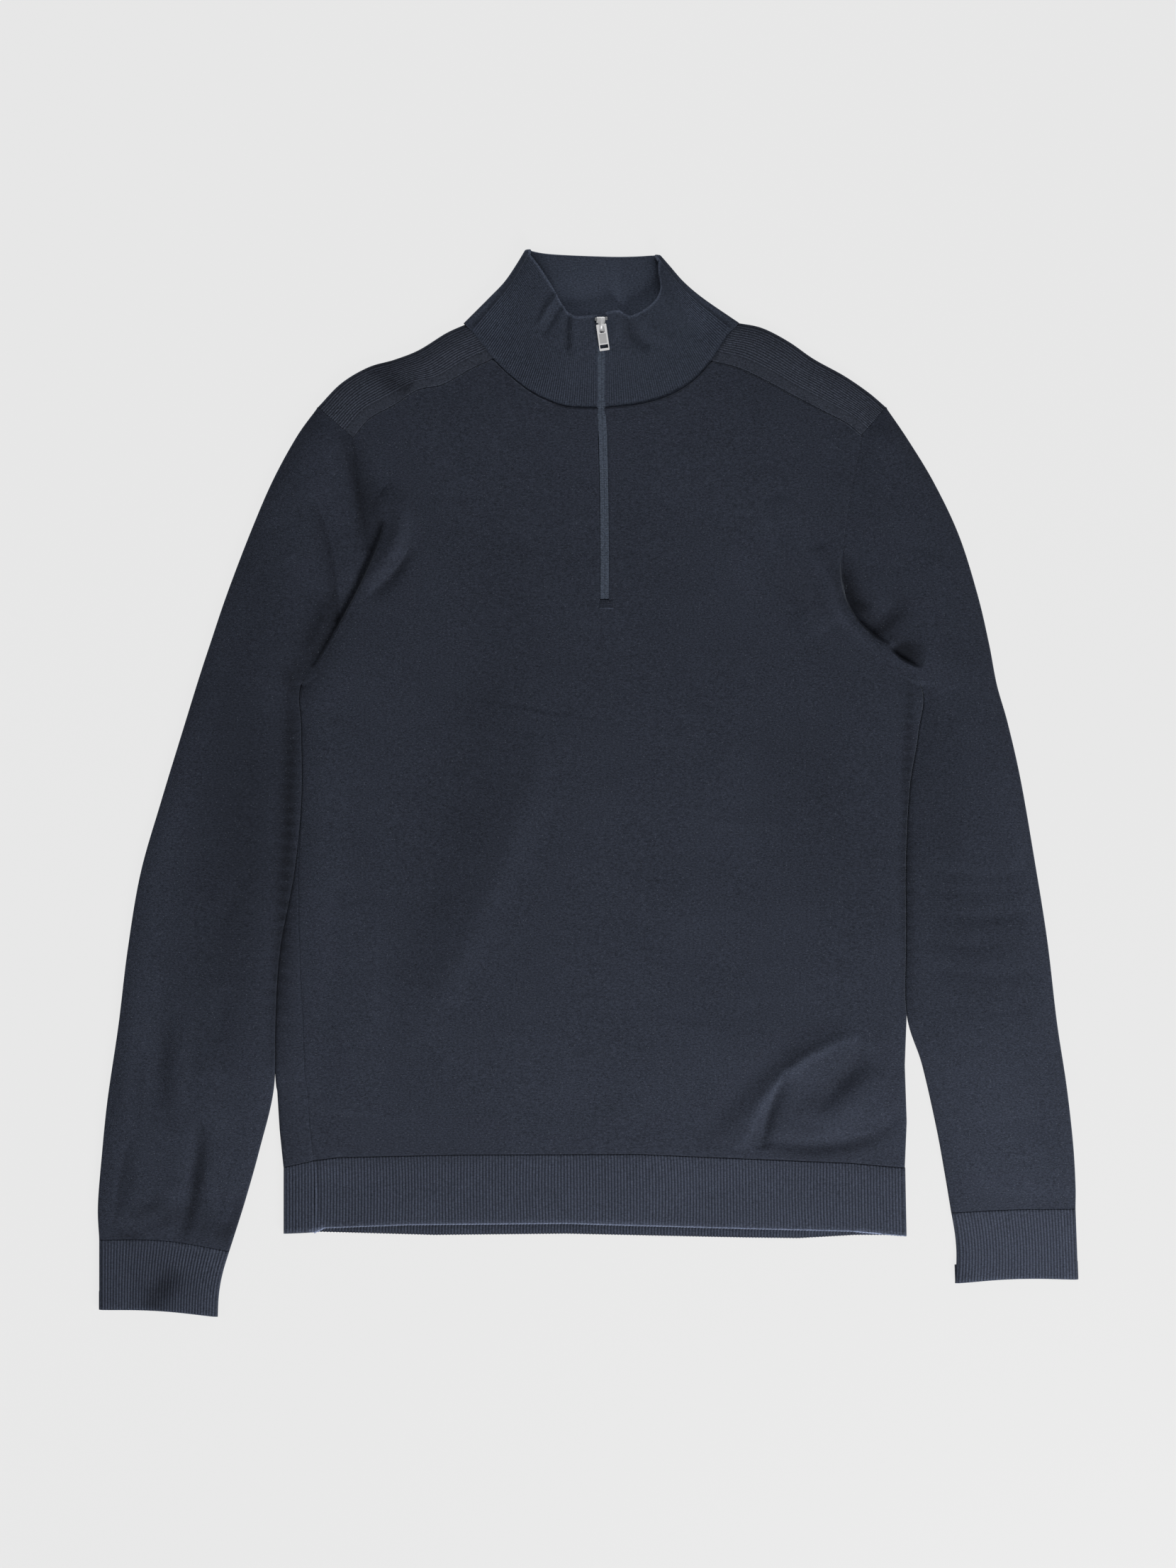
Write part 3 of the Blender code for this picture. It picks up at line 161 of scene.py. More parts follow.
SLEEVES = {
    Side.LEFT: (
        Section(-209.5, 292, -182, 268),
        Section(-226, 269, -179, 253),
        Section(-245, 234, -177, 220),
        Section(-262.5, 193, -179.5, 176),
        Section(-280, 147, -185.5, 142),
        Section(-293, 108.5, -198.5, 107.5),
        Section(-302, 81, -222, 77),
        Section(-314.5, 40.5, -222, 40),
        Section(-331, -13.5, -222, -13.5),
        Section(-347, -69.5, -227.5, -69.5),
        Section(-357, -129, -238.5, -129),
        Section(-364, -186.5, -242, -184),
        Section(-372.5, -244.5, -243.5, -236),
        Section(-377, -288.5, -254.5, -283),
        Section(-380, -327, -266, -324),
        Section(-379, -353, -278, -362),
    ),
    Side.RIGHT: (
        Section(231, 292, 212, 270),
        Section(248, 267, 209, 253),
        Section(268, 234, 202.5, 220),
        Section(287.5, 193, 197.5, 176),
        Section(302, 147, 202, 138),
        Section(311, 108.5, 221.5, 113),
        Section(317, 77, 257.5, 77),
        Section(325.5, 47, 256, 39),
        Section(335.5, 3, 249.5, -2.5),
        Section(346, -57.5, 246.5, -57.5),
        Section(356, -120.5, 246.5, -120.5),
        Section(363.5, -184, 247, -178.5),
        Section(371, -233.5, 259, -218),
        Section(376, -277.5, 270, -266.5),
        Section(378, -310.5, 276.5, -302),
        Section(378, -329, 281.5, -332),
    ),
}
BODY_SIDE = {
    Side.LEFT: ((-242, -184), (-241, -236), (-239, -268), (-236, -297)),
    Side.RIGHT: ((247, -178.5), (245.5, -218), (247, -262), (245.5, -297.5)),
}
SIDE_SEAM = ((0, 0), (8, 0), (9, 4), (10, 17), (11, 22.8), (12, 25), (14, 25))
YOKES = {
    Side.LEFT: (
        YokeSection(-94.5, 356.5, -74, 329),
        YokeSection(-110, 349.5, -93, 320),
        YokeSection(-131, 336.5, -113, 309),
        YokeSection(-150, 329, -132, 305),
        YokeSection(-170.5, 323, -150, 293.5),
        YokeSection(-191.5, 310.5, -169, 283),
        YokeSection(-209.5, 292, -182, 268),
    ),
    Side.RIGHT: (
        YokeSection(116, 357.5, 96, 327.5),
        YokeSection(135, 353.5, 117, 322),
        YokeSection(155.5, 343, 138.5, 312),
        YokeSection(175, 329.5, 158, 301.5),
        YokeSection(198.5, 316.5, 180, 290),
        YokeSection(217.5, 303.5, 199.5, 280),
        YokeSection(231, 292, 212, 270),
    ),
}
YOKE_RIB_SHARE = 0.74        # the rest, towards the front seam, is a plain band
LAP_SHARE = 0.3              # how far across its ends a yoke reaches on the underside
NECK = {
    Side.LEFT: ((7.9, 291.2), (-16, 292), (-32.5, 297.5), (-46.5, 305), (-61, 316.5),
                (-74, 329)),
    Side.RIGHT: ((12.6, 291.2), (39, 294), (61, 300), (77.5, 309), (88, 318),
                 (96, 327.5)),
}
NECK_BACK = ((-50, 336), (12, 331), (70, 336))
COLLAR_TOP = {
    Side.LEFT: ((7.1, 362), (-11.5, 361.5), (-20, 370), (-25, 379), (-37, 398),
                (-49, 413.5)),
    Side.RIGHT: ((13.3, 364), (24, 365.5), (34, 361.5), (50, 371), (56.5, 383),
                 (55, 397), (56.5, 409.5)),
}
COLLAR_SIDE = {
    Side.LEFT: ((-96.5, 357), (-77.5, 376), (-65, 389), (-56, 402), (-49, 413.5)),
    Side.RIGHT: ((117, 357.5), (90, 376), (74.5, 389), (63.5, 401.5), (56.5, 409.5)),
}
COLLAR_BACK_TOP = ((-49, 413.5), (-30, 410), (11.5, 408), (35, 408), (56.5, 409.5))
HEM_SEAM = ((-236, -297), (-212, -291.5), (-192, -289), (-97, -287), (39, -286.5),
            (121.5, -290), (204, -293.5), (245.5, -297.5))
HEM_FRONT = ((-212, -347), (-204, -343), (-139, -340.5), (-17, -339.5), (121.5, -343.5),
             (204, -345.5), (246.5, -349.5))
HEM_BACK = ((-236, -348.5), (-207, -347), (-119, -349.5), (-17, -348.5), (121.5, -351.5),
            (163, -352), (207, -349.5), (246.5, -349.5))
CUFF_ENDS = {
    Side.LEFT: Section(-379, -407, -287, -412.5),
    Side.RIGHT: Section(380, -383.5, 284.5, -386.5),
}
CUFF_BOW = {Side.LEFT: 4.0, Side.RIGHT: 1.0}
ZIP_LINE = ((HEM_MIDDLE_Y, 6.0), (143.0, 12.7), (173.0, 12.9), (223.0, 12.5), (269.0, 11.6),
            (289, 10.3), (362, 10.2))
TAPE_SHOWN = ((143, 3.5), (200, 3.6), (269, 3.7), (280, 3.2), (289, 2.4), (296, 2.6),
              (305, 3.1), (330, 3.3), (362, 3.65))     # (y, half width between the edges)
SLIT_HALF = 3.65

FOLDS = (
    # left armhole: the body rolls over the sleeve head
    Fold(-160, 226, -146, 194, -176, 152, 10, 3.2),
    Fold(-145, 180, -152, 160, -172, 146, 6, -1.8),
    Fold(-214, 224, -200, 180, -195, 124, 11, -1.8),
    Fold(-190, 262, -194, 225, -188, 190, 11, -1.2),
    Fold(-236, 200, -232, 140, -248, 70, 22, 1.8),
    # right armhole and chest
    Fold(147, 223, 166, 160, 186, 120, 11, 2.8),
    Fold(138, 201, 154, 158, 168, 132, 9, -1.4),
    Fold(178, 184, 187, 160, 202, 126, 8, 2),
    Fold(196, 152, 207, 142, 213, 134, 7, -1.6),
    Fold(215, 120, 224, 128, 238, 136, 8, -1.6),
    Fold(262, 180, 258, 130, 276, 70, 20, 1.8),
    # the body's large soft slope, and its folds towards the hem
    Fold(-38, 60, -72, -60, -140, -200, 55, 2.2),
    Fold(-178, -90, -176, -170, -182, -262, 22, 1.5),
    Fold(206, -195, 150, -228, 112, -284, 13, 2.4),
    Fold(165, -192, 124, -240, 86, -280, 12, -0.5),
    Fold(160, -225, 140, -255, 136, -284, 9, -2.2),
    Fold(218, -203, 196, -232, 176, -253, 12, -2.4),
    Fold(176, -262, 200, -252, 228, -240, 14, 2),
    # sleeves above the cuffs
    Fold(-318, -168, -328, -210, -331, -250, 8, -1.6),
    Fold(-300, -272, -305, -305, -310, -345, 8, -1.8),
    Fold(-281, -157, -284, -178, -283, -200, 8, -1.4),
    Fold(-353, -288, -358, -310, -362, -328, 6, -1.4),
    Fold(318, -100, 322, -180, 330, -260, 20, 1.5),
    # finer creases from here on
    # left armhole: a hollow along the seam, and the body rolled over the sleeve head
    Fold(-190, 276, -177, 228, -171, 180, 7, -3),
    Fold(-160, 222, -145, 198, -176, 144, 7, 2),
    Fold(-158, 206, -172, 163, -214, 88, 8, -3.6, -1),
    Fold(-139, 186, -147, 169, -172, 145, 5, -1.8, 1),
    Fold(-214, 236, -202, 190, -196, 124, 6, -1.2),
    Fold(-232, 176, -214, 128, -226, 90, 9, -1.8),
    Fold(-200, 138, -208, 118, -222, 98, 5, 1.2),
    # right armhole: hollows on the sleeve's side, the body's edge standing over them
    Fold(196, 182, 202.5, 137.5, 233, 108.5, 9, -4.2, 1),
    Fold(218, 118, 230, 124, 244, 140, 7, -1.6),
    Fold(234, 106, 243, 97, 258, 90, 9, -3.6, 1),
    Fold(188, 166, 196, 134, 226, 106, 5, 1.6),
    Fold(226, 110, 240, 97, 256, 88, 4, 1.4),
    Fold(208, 140, 214, 134, 219, 126, 2.5, 1.6),
    Fold(150, 190, 166, 160, 184, 118, 4.5, 1),
    Fold(128, 214, 152, 165, 160, 120, 5, -0.8),
    # body below the chest, soft and long
    Fold(-44, 40, -76, -60, -142, -212, 16, 1.3),
    Fold(-78, 40, -112, -60, -158, -190, 20, -1.3),
    Fold(-200, -60, -198, -140, -205, -250, 9, -0.9),
    Fold(-150, -80, -154, -160, -150, -262, 12, -0.6),
    Fold(-60, -190, -20, -232, -10, -280, 16, -0.6),
    Fold(104, -178, 125, -174, 144, -170, 6, -0.5),
    Fold(110, -30, 104, -110, 96, -190, 42, -1.2),
    Fold(212, -194, 152, -226, 122, -284, 4.5, 1.7),
    Fold(164, -198, 124, -238, 86, -279, 8, -0.6),
    Fold(155, -220, 142, -248, 133, -284, 5, -2.4, 1),
    Fold(214, -206, 196, -232, 178, -250, 6, -1.4),
    Fold(140, -276, 176, -281, 226, -272, 6, -2),
    Fold(226, -272, 236, -262, 238, -252, 6, -1.2),
    Fold(186, -240, 206, -236, 226, -222, 8, 1),
    Fold(20, -60, 60, -90, 120, -104, 20, 0.6),
    Fold(-60, 160, -30, 120, 0, 60, 24, -0.5),
    Fold(60, 240, 90, 180, 100, 100, 22, -0.6),
    # left yoke: a dip across its ribs
    Fold(-166, 330, -152, 316, -138, 306, 7, -2.6),
    # right sleeve: fine creases across
    Fold(262, -64, 300, -72, 340, -66, 5, -0.7),
    Fold(258, -78, 296, -84, 336, -80, 5, -0.5),
    Fold(266, -98, 306, -104, 346, -98, 5, -0.7),
    Fold(262, -118, 300, -126, 334, -120, 5, -0.5),
    Fold(268, -140, 310, -148, 352, -142, 5, -0.6),
    Fold(272, -168, 306, -176, 344, -172, 5, -0.5),
    Fold(256, -196, 276, -260, 296, -326, 3, 0.6),
    # left sleeve: long troughs and short creases above the cuff
    Fold(-352, -120, -358, -200, -364, -290, 10, 1),
    Fold(-326, -150, -334, -200, -336, -262, 8, -1.8),
    Fold(-346, -190, -350, -230, -354, -280, 6, -0.9),
    Fold(-300, -180, -306, -214, -308, -256, 7, -1),
    Fold(-268, -66, -276, -92, -288, -118, 7, -0.9),
    Fold(-352, -334, -336, -338, -322, -330, 6, -1),
    Fold(-330, -322, -318, -312, -300, -318, 6, 0.9),
    Fold(-301, -262, -306, -300, -312, -350, 4, -1.2),
    Fold(-290, -300, -286, -322, -292, -344, 5, -1.2),
    Fold(-326, -378, -331, -392, -340, -406, 8, -0.8),
)
PAINTED_LIGHT_AND_SHADE = (
    # painted light (height > 0) and painted shade (height < 0) along these, as a share of the
    # colour: shade in hollows, creases and where parts meet, light on ridges and edges
    Fold(-45, 190, -90, 14, -142, -160, 30, -0.13),
    Fold(-150, 240, 20, 262, 190, 230, 60, 0.07),
    Fold(60, 250, 120, 200, 160, 120, 50, 0.06),
    Fold(-60, -245, 80, -240, 236, -250, 36, 0.07),
    Fold(-226, -170, -222, -230, -216, -290, 16, 0.08),
    Fold(300, -170, 318, -260, 330, -345, 44, 0.13),
    Fold(332, -330, 332, -360, 333, -400, 50, 0.08),
    Fold(-40, 38, -76, -69, -129, -176, 9, -0.13),
    Fold(-26, 26, -58, -69, -112, -176, 9, 0.08),
    Fold(-200, 80, -196, -100, -190, -260, 12, 0.08),
    Fold(150, 60, 190, -40, 215, -130, 40, -0.12),
    Fold(150, 215, 170, 178, 190, 150, 7, 0.10),
    Fold(115, 190, 122, 160, 132, 140, 8, 0.08),
    # left armhole, sleeve head and yoke
    Fold(-168, 333, -153, 317, -138, 304, 11, -0.36),
    Fold(-190, 278, -177, 228, -171, 178, 7, -0.42),
    Fold(-188, 262, -177, 220, -172, 184, 2.2, -0.15),
    Fold(-166, 240, -163, 210, -160, 186, 5, -0.24),
    Fold(-154, 225, -141, 197, -176, 144, 5, 0.12),
    Fold(-158, 206, -172, 163, -214, 88, 6, -0.6, -1),
    Fold(-139, 186, -147, 169, -172, 145, 5, -0.36, 1),
    Fold(-212, 222, -197, 174, -193, 118, 8, -0.34, -1),
    Fold(-202, 150, -210, 112, -230, 70, 16, -0.42),
    # the left sleeve beside the body, its outer side and its wrinkles
    Fold(-230, 92, -232, -40, -245, -226, 7, -0.6),
    Fold(-250, 60, -262, -60, -285, -230, 24, -0.2),
    Fold(-250, 200, -278, 20, -306, -230, 34, -0.2),
    Fold(-300, 60, -330, -60, -355, -220, 16, 0.12),
    Fold(-242, 225, -280, 130, -302, 60, 14, 0.08),
    Fold(-325, -180, -326, -225, -320, -275, 6, -0.18),
    Fold(-297, -262, -303, -314, -315, -358, 5.5, -0.5),
    Fold(-354, -276, -363, -308, -367, -342, 8, -0.38, 1),
    Fold(-340, -324, -324, -334, -310, -326, 7, -0.2),
    Fold(-370, -346, -356, -350, -342, -350, 5, -0.25),
    Fold(-267, -318, -274, -340, -285, -362, 6, -0.3),
    Fold(-333, -352, -334, -380, -335, -410, 48, -0.1),
    Fold(-290, -352, -284, -348, -276, -340, 5, -0.25),
    Fold(-356, -334, -344, -330, -326, -318, 6, -0.28),
    Fold(-292, -318, -295, -340, -300, -358, 6, -0.22),
    Fold(-316, -376, -331, -393, -342, -408, 10, -0.45),
    # right armhole and sleeve
    Fold(196, 186, 202, 137.5, 237, 104.5, 12, -0.42, 1),
    Fold(195, 168, 207, 143, 222, 126, 7.5, -0.36),
    Fold(203, 137, 209, 129, 218, 120, 2, 0.2),
    Fold(218, 112, 233, 126, 248, 144, 8.5, -0.4),
    Fold(236, 106, 247, 106, 260, 101, 8, -0.42),
    Fold(234, 106, 243, 97, 260, 90, 11, -0.62, 1),
    Fold(224, 110, 234, 117, 244, 128, 3, 0.14),
    Fold(186, 170, 194, 132, 228, 103, 4, 0.10),
    Fold(250, 92, 247, -40, 249, -186, 4.5, -0.5),
    Fold(268, 60, 276, -60, 292, -180, 20, -0.12),
    Fold(318, 20, 342, -80, 362, -220, 12, 0.12),
    # the side seam over the hem, its light roll and flare, and the right end's
    Fold(-213, -284, -210.5, -320, -213, -350, 1.6, 0.4),
    Fold(-209, -284, -208.5, -314, -207, -338, 1.3, -0.35),
    Fold(-217, -349, -211, -346, -204, -343, 1.8, 1.2),
    Fold(206, -347, 216, -348.5, 228, -349, 1.6, 0.9),
    # folds above the hem's right end
    Fold(84, -279, 124, -238, 162, -200, 8, -0.12),
    Fold(122, -283, 149, -231, 212, -194, 4, 0.3),
    Fold(155, -220, 142, -248, 133, -285, 6, -0.42, 1),
    Fold(158, -256, 190, -232, 214, -204, 6, -0.2),
    Fold(172, -268, 200, -252, 232, -232, 10, 0.12),
    Fold(150, -284, 205, -281, 236, -262, 5, -0.2),
    # collar: hollows beside the zip, lighter outer sides
    Fold(-15, 364, -16, 350, -14, 330, 2.6, -0.25),
    Fold(29, 364, 35, 350, 46, 336, 5.5, -0.22),
    Fold(-86, 352, -74, 372, -56, 396, 16, 0.22),
    Fold(98, 354, 82, 372, 64, 394, 16, 0.28),
)
COLLAR_FOLDS = (
    Fold(-14.5, 367, -16, 353, -14.5, 336, 2.6, -2.8),
    Fold(-9, 365, -10, 352, -8, 336, 4, 0.8),
    Fold(-22.5, 379.5, -30, 369, -40, 352, 2.6, 2.4),
    Fold(-18, 374, -26, 362, -33, 348, 2.8, -2),
    Fold(28, 366, 34, 351, 48, 336, 5, -3.2),
    Fold(34, 371, 46, 354, 66, 340, 5, 1.4),
    Fold(20, 368, 23, 358, 24, 346, 4, 1.2),
    Fold(-58, 352, -52, 366, -44, 384, 9, 0.8),
    Fold(80, 352, 70, 366, 62, 384, 9, 0.8),
)


# ---------------------------------------------------------------- curves

def smooth(points: Sequence, t: Array) -> Array:
    """Points of the smooth curve through all the given points.

    Args:
        points: the curve's points, one row each.
        t: station numbers, 0 at the first point.

    Returns:
        One row for each station.
    """
    p = np.asarray(points, float)
    t = np.clip(np.asarray(t, float), 0.0, len(p) - 1.0)
    i = np.clip(t.astype(int), 0, len(p) - 2)
    f = (t - i)[..., None]
    ends = np.vstack([2 * p[0] - p[1], p, 2 * p[-1] - p[-2]])
    a, b, c, d = (ends[i + k] for k in range(4))
    return 0.5 * (2 * b + (c - a) * f + (2 * a - 5 * b + 4 * c - d) * f ** 2
                  + (3 * b - a - 3 * c + d) * f ** 3)


FINE_STEPS = 40              # fine points to each given one


def even(points: Sequence, fractions: Sequence[float]) -> Array:
    """Points at the given shares (0 to 1) of a smooth curve's length."""
    fine = smooth(points, np.linspace(0, len(points) - 1, FINE_STEPS * len(points)))
    run = run_along(fine)
    at = np.asarray(fractions) * run[-1]
    return np.column_stack([np.interp(at, run, fine[:, 0]), np.interp(at, run, fine[:, 1])])


def plan_columns(table: Sequence, at: Array) -> Array:
    """Plan points read off a table's rows, by row number."""
    rows = np.array(table)
    return np.column_stack([np.interp(at, range(len(rows)), rows[:, k]) for k in (0, 1)])


def run_along(line: Array) -> Array:
    """Arc length from the first point to each point of a line."""
    return np.concatenate([[0.0], np.cumsum(np.linalg.norm(np.diff(line, axis=0), axis=1))])


def unit(v: Array) -> Array:
    """Vectors of length one."""
    return v / np.maximum(np.linalg.norm(v, axis=-1, keepdims=True), 1e-9)


def mix(a: Array, b: Array, f: Array) -> Array:
    """Straight blend from a to b."""
    return a + (b - a) * f


def look_up(table: Sequence, at: Array) -> Array:
    """Second column of a table, read at values of its first."""
    return np.interp(at, *np.array(table).T)


def zip_x(y: Array) -> Array:
    """The closing line's x at heights y."""
    return look_up(ZIP_LINE, y)


def rim(edge: Array, inward: Array, along: Array, radius: float) -> tuple[Array, Array]:
    """Outer points and normals over a folded side.

    Args:
        edge: plan points of the side's outermost line.
        inward: unit plan directions into the piece.
        along: arc lengths from the outermost line, positive over the top, negative under.
        radius: outer radius of the turn.

    Returns:
        The points and their outward normals.
    """
    quarter = math.pi * radius / 2
    turn = np.clip(along / radius, -math.pi / 2, math.pi / 2)
    inset = radius * (1 - np.cos(turn)) + np.maximum(np.abs(along) - quarter, 0)
    xy = edge + inward * inset[..., None]
    z = radius + radius * np.sin(turn)
    normal = np.concatenate([-inward * np.cos(turn)[..., None], np.sin(turn)[..., None]], axis=-1)
    return np.concatenate([xy, z[..., None]], axis=-1), normal


def turned(edge: Array, inward: Array, angle: float, radius: float = RIM) -> Array:
    """Points at an angle round a folded side: 90 degrees is on top, -90 underneath."""
    return rim(edge, inward, np.full(len(edge), math.radians(angle) * radius), radius)[0]


def over(xy: Array, z: Array) -> Array:
    """Plan points with a height added."""
    return np.concatenate([xy, np.broadcast_to(z, xy.shape[:-1])[..., None]], axis=-1)


FOLD_REACH = 3               # a fold is gone this many widths off its line
SIDED_EDGE = 1.5             # how wide a sided fold's sharp side is
PATH_STEPS = 33              # points along a fold's line


@dataclass(frozen=True)
class Relief:
    """Folds of the loose cloth, summed over its plan."""

    folds: tuple[Fold, ...]

    def height(self, xy: Array) -> Array:
        """Height of all folds, in mm, at plan points."""
        flat = np.asarray(xy, float).reshape(-1, 2)
        total = np.zeros(len(flat))
        s = np.linspace(0, 1, PATH_STEPS)[:, None]
        for fold in self.folds:
            a, b, c = np.array(fold[0:2]), np.array(fold[2:4]), np.array(fold[4:6])
            path = a * (1 - s) * (1 - 2 * s) + 4 * b * s * (1 - s) + c * s * (2 * s - 1)
            reach = FOLD_REACH * fold.width
            low, high = path.min(axis=0) - reach, path.max(axis=0) + reach
            near = np.all((flat > low) & (flat < high), axis=1)
            if not near.any():
                continue
            away = np.linalg.norm(flat[near, None, :] - path[None, :, :], axis=2)
            nearest = np.argmin(away, axis=1)
            fade = np.sqrt(np.sin(math.pi * s[nearest, 0]).clip(0))
            if fold.sided:
                way = unit(np.gradient(path, axis=0))[nearest]
                off = flat[near] - path[nearest]
                left = way[:, 0] * off[:, 1] - way[:, 1] * off[:, 0]
                fade = fade * np.clip(fold.sided * left / SIDED_EDGE + 0.5, 0, 1)
            total[near] += fold.height * fade * np.exp(-(away.min(axis=1) / fold.width) ** 2)
        return total.reshape(xy.shape[:-1])


LOOSE = Relief(FOLDS)
COLLAR_RELIEF = Relief(COLLAR_FOLDS)
# painted light and shade over the cloth's plan, as shares of its colour
PAINTED_SHADING = Relief(PAINTED_LIGHT_AND_SHADE)


def settled(xy: Array) -> Array:
    """Slow unevenness of cloth laid by hand, in mm."""
    x, y = xy[..., 0], xy[..., 1]
    return (0.22 * np.sin(x / 31 + y / 57) + 0.18 * np.sin(y / 27 - x / 66 + 1.3)
            + 0.12 * np.sin(x / 13.5 + 0.7 * np.sin(y / 40)) * np.sin(y / 61 + 0.4))


def band_y(low: Sequence, x: Array, share: float) -> Array:
    """The hem band's y at x, from its seam (share 0) down to the edge in a table."""
    return mix(look_up(HEM_SEAM, x), look_up(low, x), share)


def crown(xy: Array) -> Array:
    """Slow rise of the body's front layer from its sides to its middle, in mm."""
    x, y = xy[..., 0], xy[..., 1]
    across = np.clip(1 - (np.abs(x - BODY_MIDDLE) / BODY_HALF) ** 3, 0, 1)
    return BODY_CROWN * across * np.clip((y - BODY_LOW) / CROWN_FADE, 0, 1)


def lifted(xy: Array, from_side: Array) -> Array:
    """Height of the top layer over the rims' 2 * RIM, gone at a folded side."""
    near = np.clip(np.asarray(from_side) / LOFT_REACH, 0, 1)
    return (LOFT + crown(xy) + LOOSE.height(xy) + settled(xy)) * near * (2 - near)


# ---------------------------------------------------------------- cloth grids

ROLL = ((0.0, 1.5), (0.0, 0.6), (0.3, 0.15), (0.9, 0.0))    # (inset, depth) into a seam
GROOVE_LINES = 3             # the roll's lines that lie in the groove's shade
GROOVE_DARK = 0.6            # how far their crest value falls at a band's seam, as painted shade in the groove
PAINTED_SHADING_RANGE = (0.3, 2.5)
MERGE = 0.00001              # in metres


@dataclass
class Grid:
    """A piece's points, cloth coordinates and rib crests, row by row, in mm."""

    points: Array
    weave: Array
    crest: Array
    drop: Optional[Array] = None      # flags of the cells left out, rows-1 by columns-1

    @classmethod
    def of(cls, points: Array, crest: Optional[Array] = None) -> "Grid":
        """A grid whose cloth coordinates are its own arc lengths.

        Args:
            points: rows by columns by 3.
            crest: 0 in a rib's valley to 1 on its crest; PLAIN where there are no ribs. The finish
                paints shade into low values and light into high ones, and values past 1 are painted
                highlights.

        Returns:
            The grid.
        """
        across = np.linalg.norm(np.diff(points, axis=1), axis=2).cumsum(axis=1)
        down = np.linalg.norm(np.diff(points, axis=0), axis=2).cumsum(axis=0)
        u = np.pad(across, ((0, 0), (1, 0)))
        v = np.pad(down, ((1, 0), (0, 0)))
        middle = points.shape[1] // 2
        v = np.broadcast_to(v[:, middle:middle + 1], u.shape)
        weave = np.stack([u - u[:, middle:middle + 1], v], axis=-1)
        return cls(points, weave, np.full(u.shape, PLAIN) if crest is None else crest)

    def rolled(self, axis: int, last: bool, roll: Sequence = ROLL, dark: float = 0.0) -> "Grid":
        """The grid with one edge rolled down into its seam.

        Args:
            axis: 0 for the first or last row, 1 for the first or last column.
            last: whether it is the last one.
            roll: (inset, depth) of the added lines, outermost first.
            dark: how much the groove's own crest values fall, as painted shade.

        Returns:
            The longer grid.
        """
        parts = []
        for array in (self.points, self.weave, self.crest):
            a = np.moveaxis(array, axis, 0)
            parts.append(a[::-1] if last else a)
        points, weave, crest = parts
        way = unit(points[1] - points[0])
        into = np.where(points[0][:, 2:] > RIM, -1.0, 1.0) * np.array((0.0, 0.0, 1.0))
        lines = np.stack([points[0] + inset * way + depth * into for inset, depth in roll])
        points = np.concatenate([lines, points[1:]])
        weave = np.concatenate([np.repeat(weave[:1], len(roll), axis=0), weave[1:]])
        crest = np.concatenate([np.repeat(crest[:1], len(roll), axis=0), crest[1:]])
        crest[:GROOVE_LINES] -= dark
        out = [a[::-1] if last else a for a in (points, weave, crest)]
        return Grid(*(np.moveaxis(a, 0, axis) for a in out))


@contextmanager
def editing(pick: Optional[str] = "SELECT", kind: str = "VERT") -> Iterator[None]:
    """Edit mode on the active piece.

    Args:
        pick: what select_all does first; None keeps the selection.
        kind: the selection mode.
    """
    bpy.ops.object.mode_set(mode="EDIT")
    bpy.ops.mesh.select_mode(type=kind)
    if pick:
        bpy.ops.mesh.select_all(action=pick)
    yield
    bpy.ops.object.mode_set(mode="OBJECT")


def add_value(mesh: bpy.types.Mesh, name: str, values: Array) -> None:
    """Give a mesh a number for each of its points."""
    mesh.attributes.new(name, "FLOAT", "POINT").data.foreach_set("value", values.ravel())


def cloth_mesh(name: str, grid: Grid) -> bpy.types.Object:
    """Lay a grid primitive on a cloth grid, close its seams and smooth it.

    Args:
        name: the piece's name.
        grid: its points, cloth coordinates and crests.

    Returns:
        The finished object, its place in its mesh.
    """
    rows, cols = grid.points.shape[:2]
    bpy.ops.object.select_all(action="DESELECT")
    bpy.ops.mesh.primitive_grid_add(x_subdivisions=cols - 1, y_subdivisions=rows - 1, size=2.0,
                                    calc_uvs=True)
    obj = bpy.context.object
    obj.name = obj.data.name = name
    mesh = obj.data
    start = np.empty(3 * len(mesh.vertices))
    mesh.vertices.foreach_get("co", start)
    start = start.reshape(-1, 3)
    j = np.rint((start[:, 0] + 1) / 2 * (cols - 1)).astype(int)
    i = np.rint((1 - start[:, 1]) / 2 * (rows - 1)).astype(int)
    mesh.vertices.foreach_set("co", (grid.points[i, j] * MM).ravel())
    corner = np.empty(len(mesh.loops), int)
    mesh.loops.foreach_get("vertex_index", corner)
    mesh.uv_layers.active.name = "weave"
    mesh.uv_layers.active.data.foreach_set("uv", (grid.weave[i, j] * MM)[corner].ravel())
    add_value(mesh, "crest", grid.crest[i, j])
    # painted light and shade at each point, which the finish multiplies the colour by
    add_value(mesh, "nap", np.clip(1 + PAINTED_SHADING.height(grid.points[..., :2])[i, j], *PAINTED_SHADING_RANGE))
    if grid.drop is not None:
        with editing("DESELECT"):
            pass                      # leaves every point unselected
        centre = np.array([start[list(p.vertices)].mean(axis=0) for p in mesh.polygons])
        row = ((1 - centre[:, 1]) / 2 * (rows - 1)).astype(int)
        col = ((centre[:, 0] + 1) / 2 * (cols - 1)).astype(int)
        mesh.polygons.foreach_set("select", grid.drop[row, col])
        with editing(None, "FACE"):
            bpy.ops.mesh.delete(type="FACE")
    with editing():
        bpy.ops.mesh.remove_doubles(threshold=MERGE)
    face_up(obj)
    bpy.ops.object.shade_smooth()
    return obj


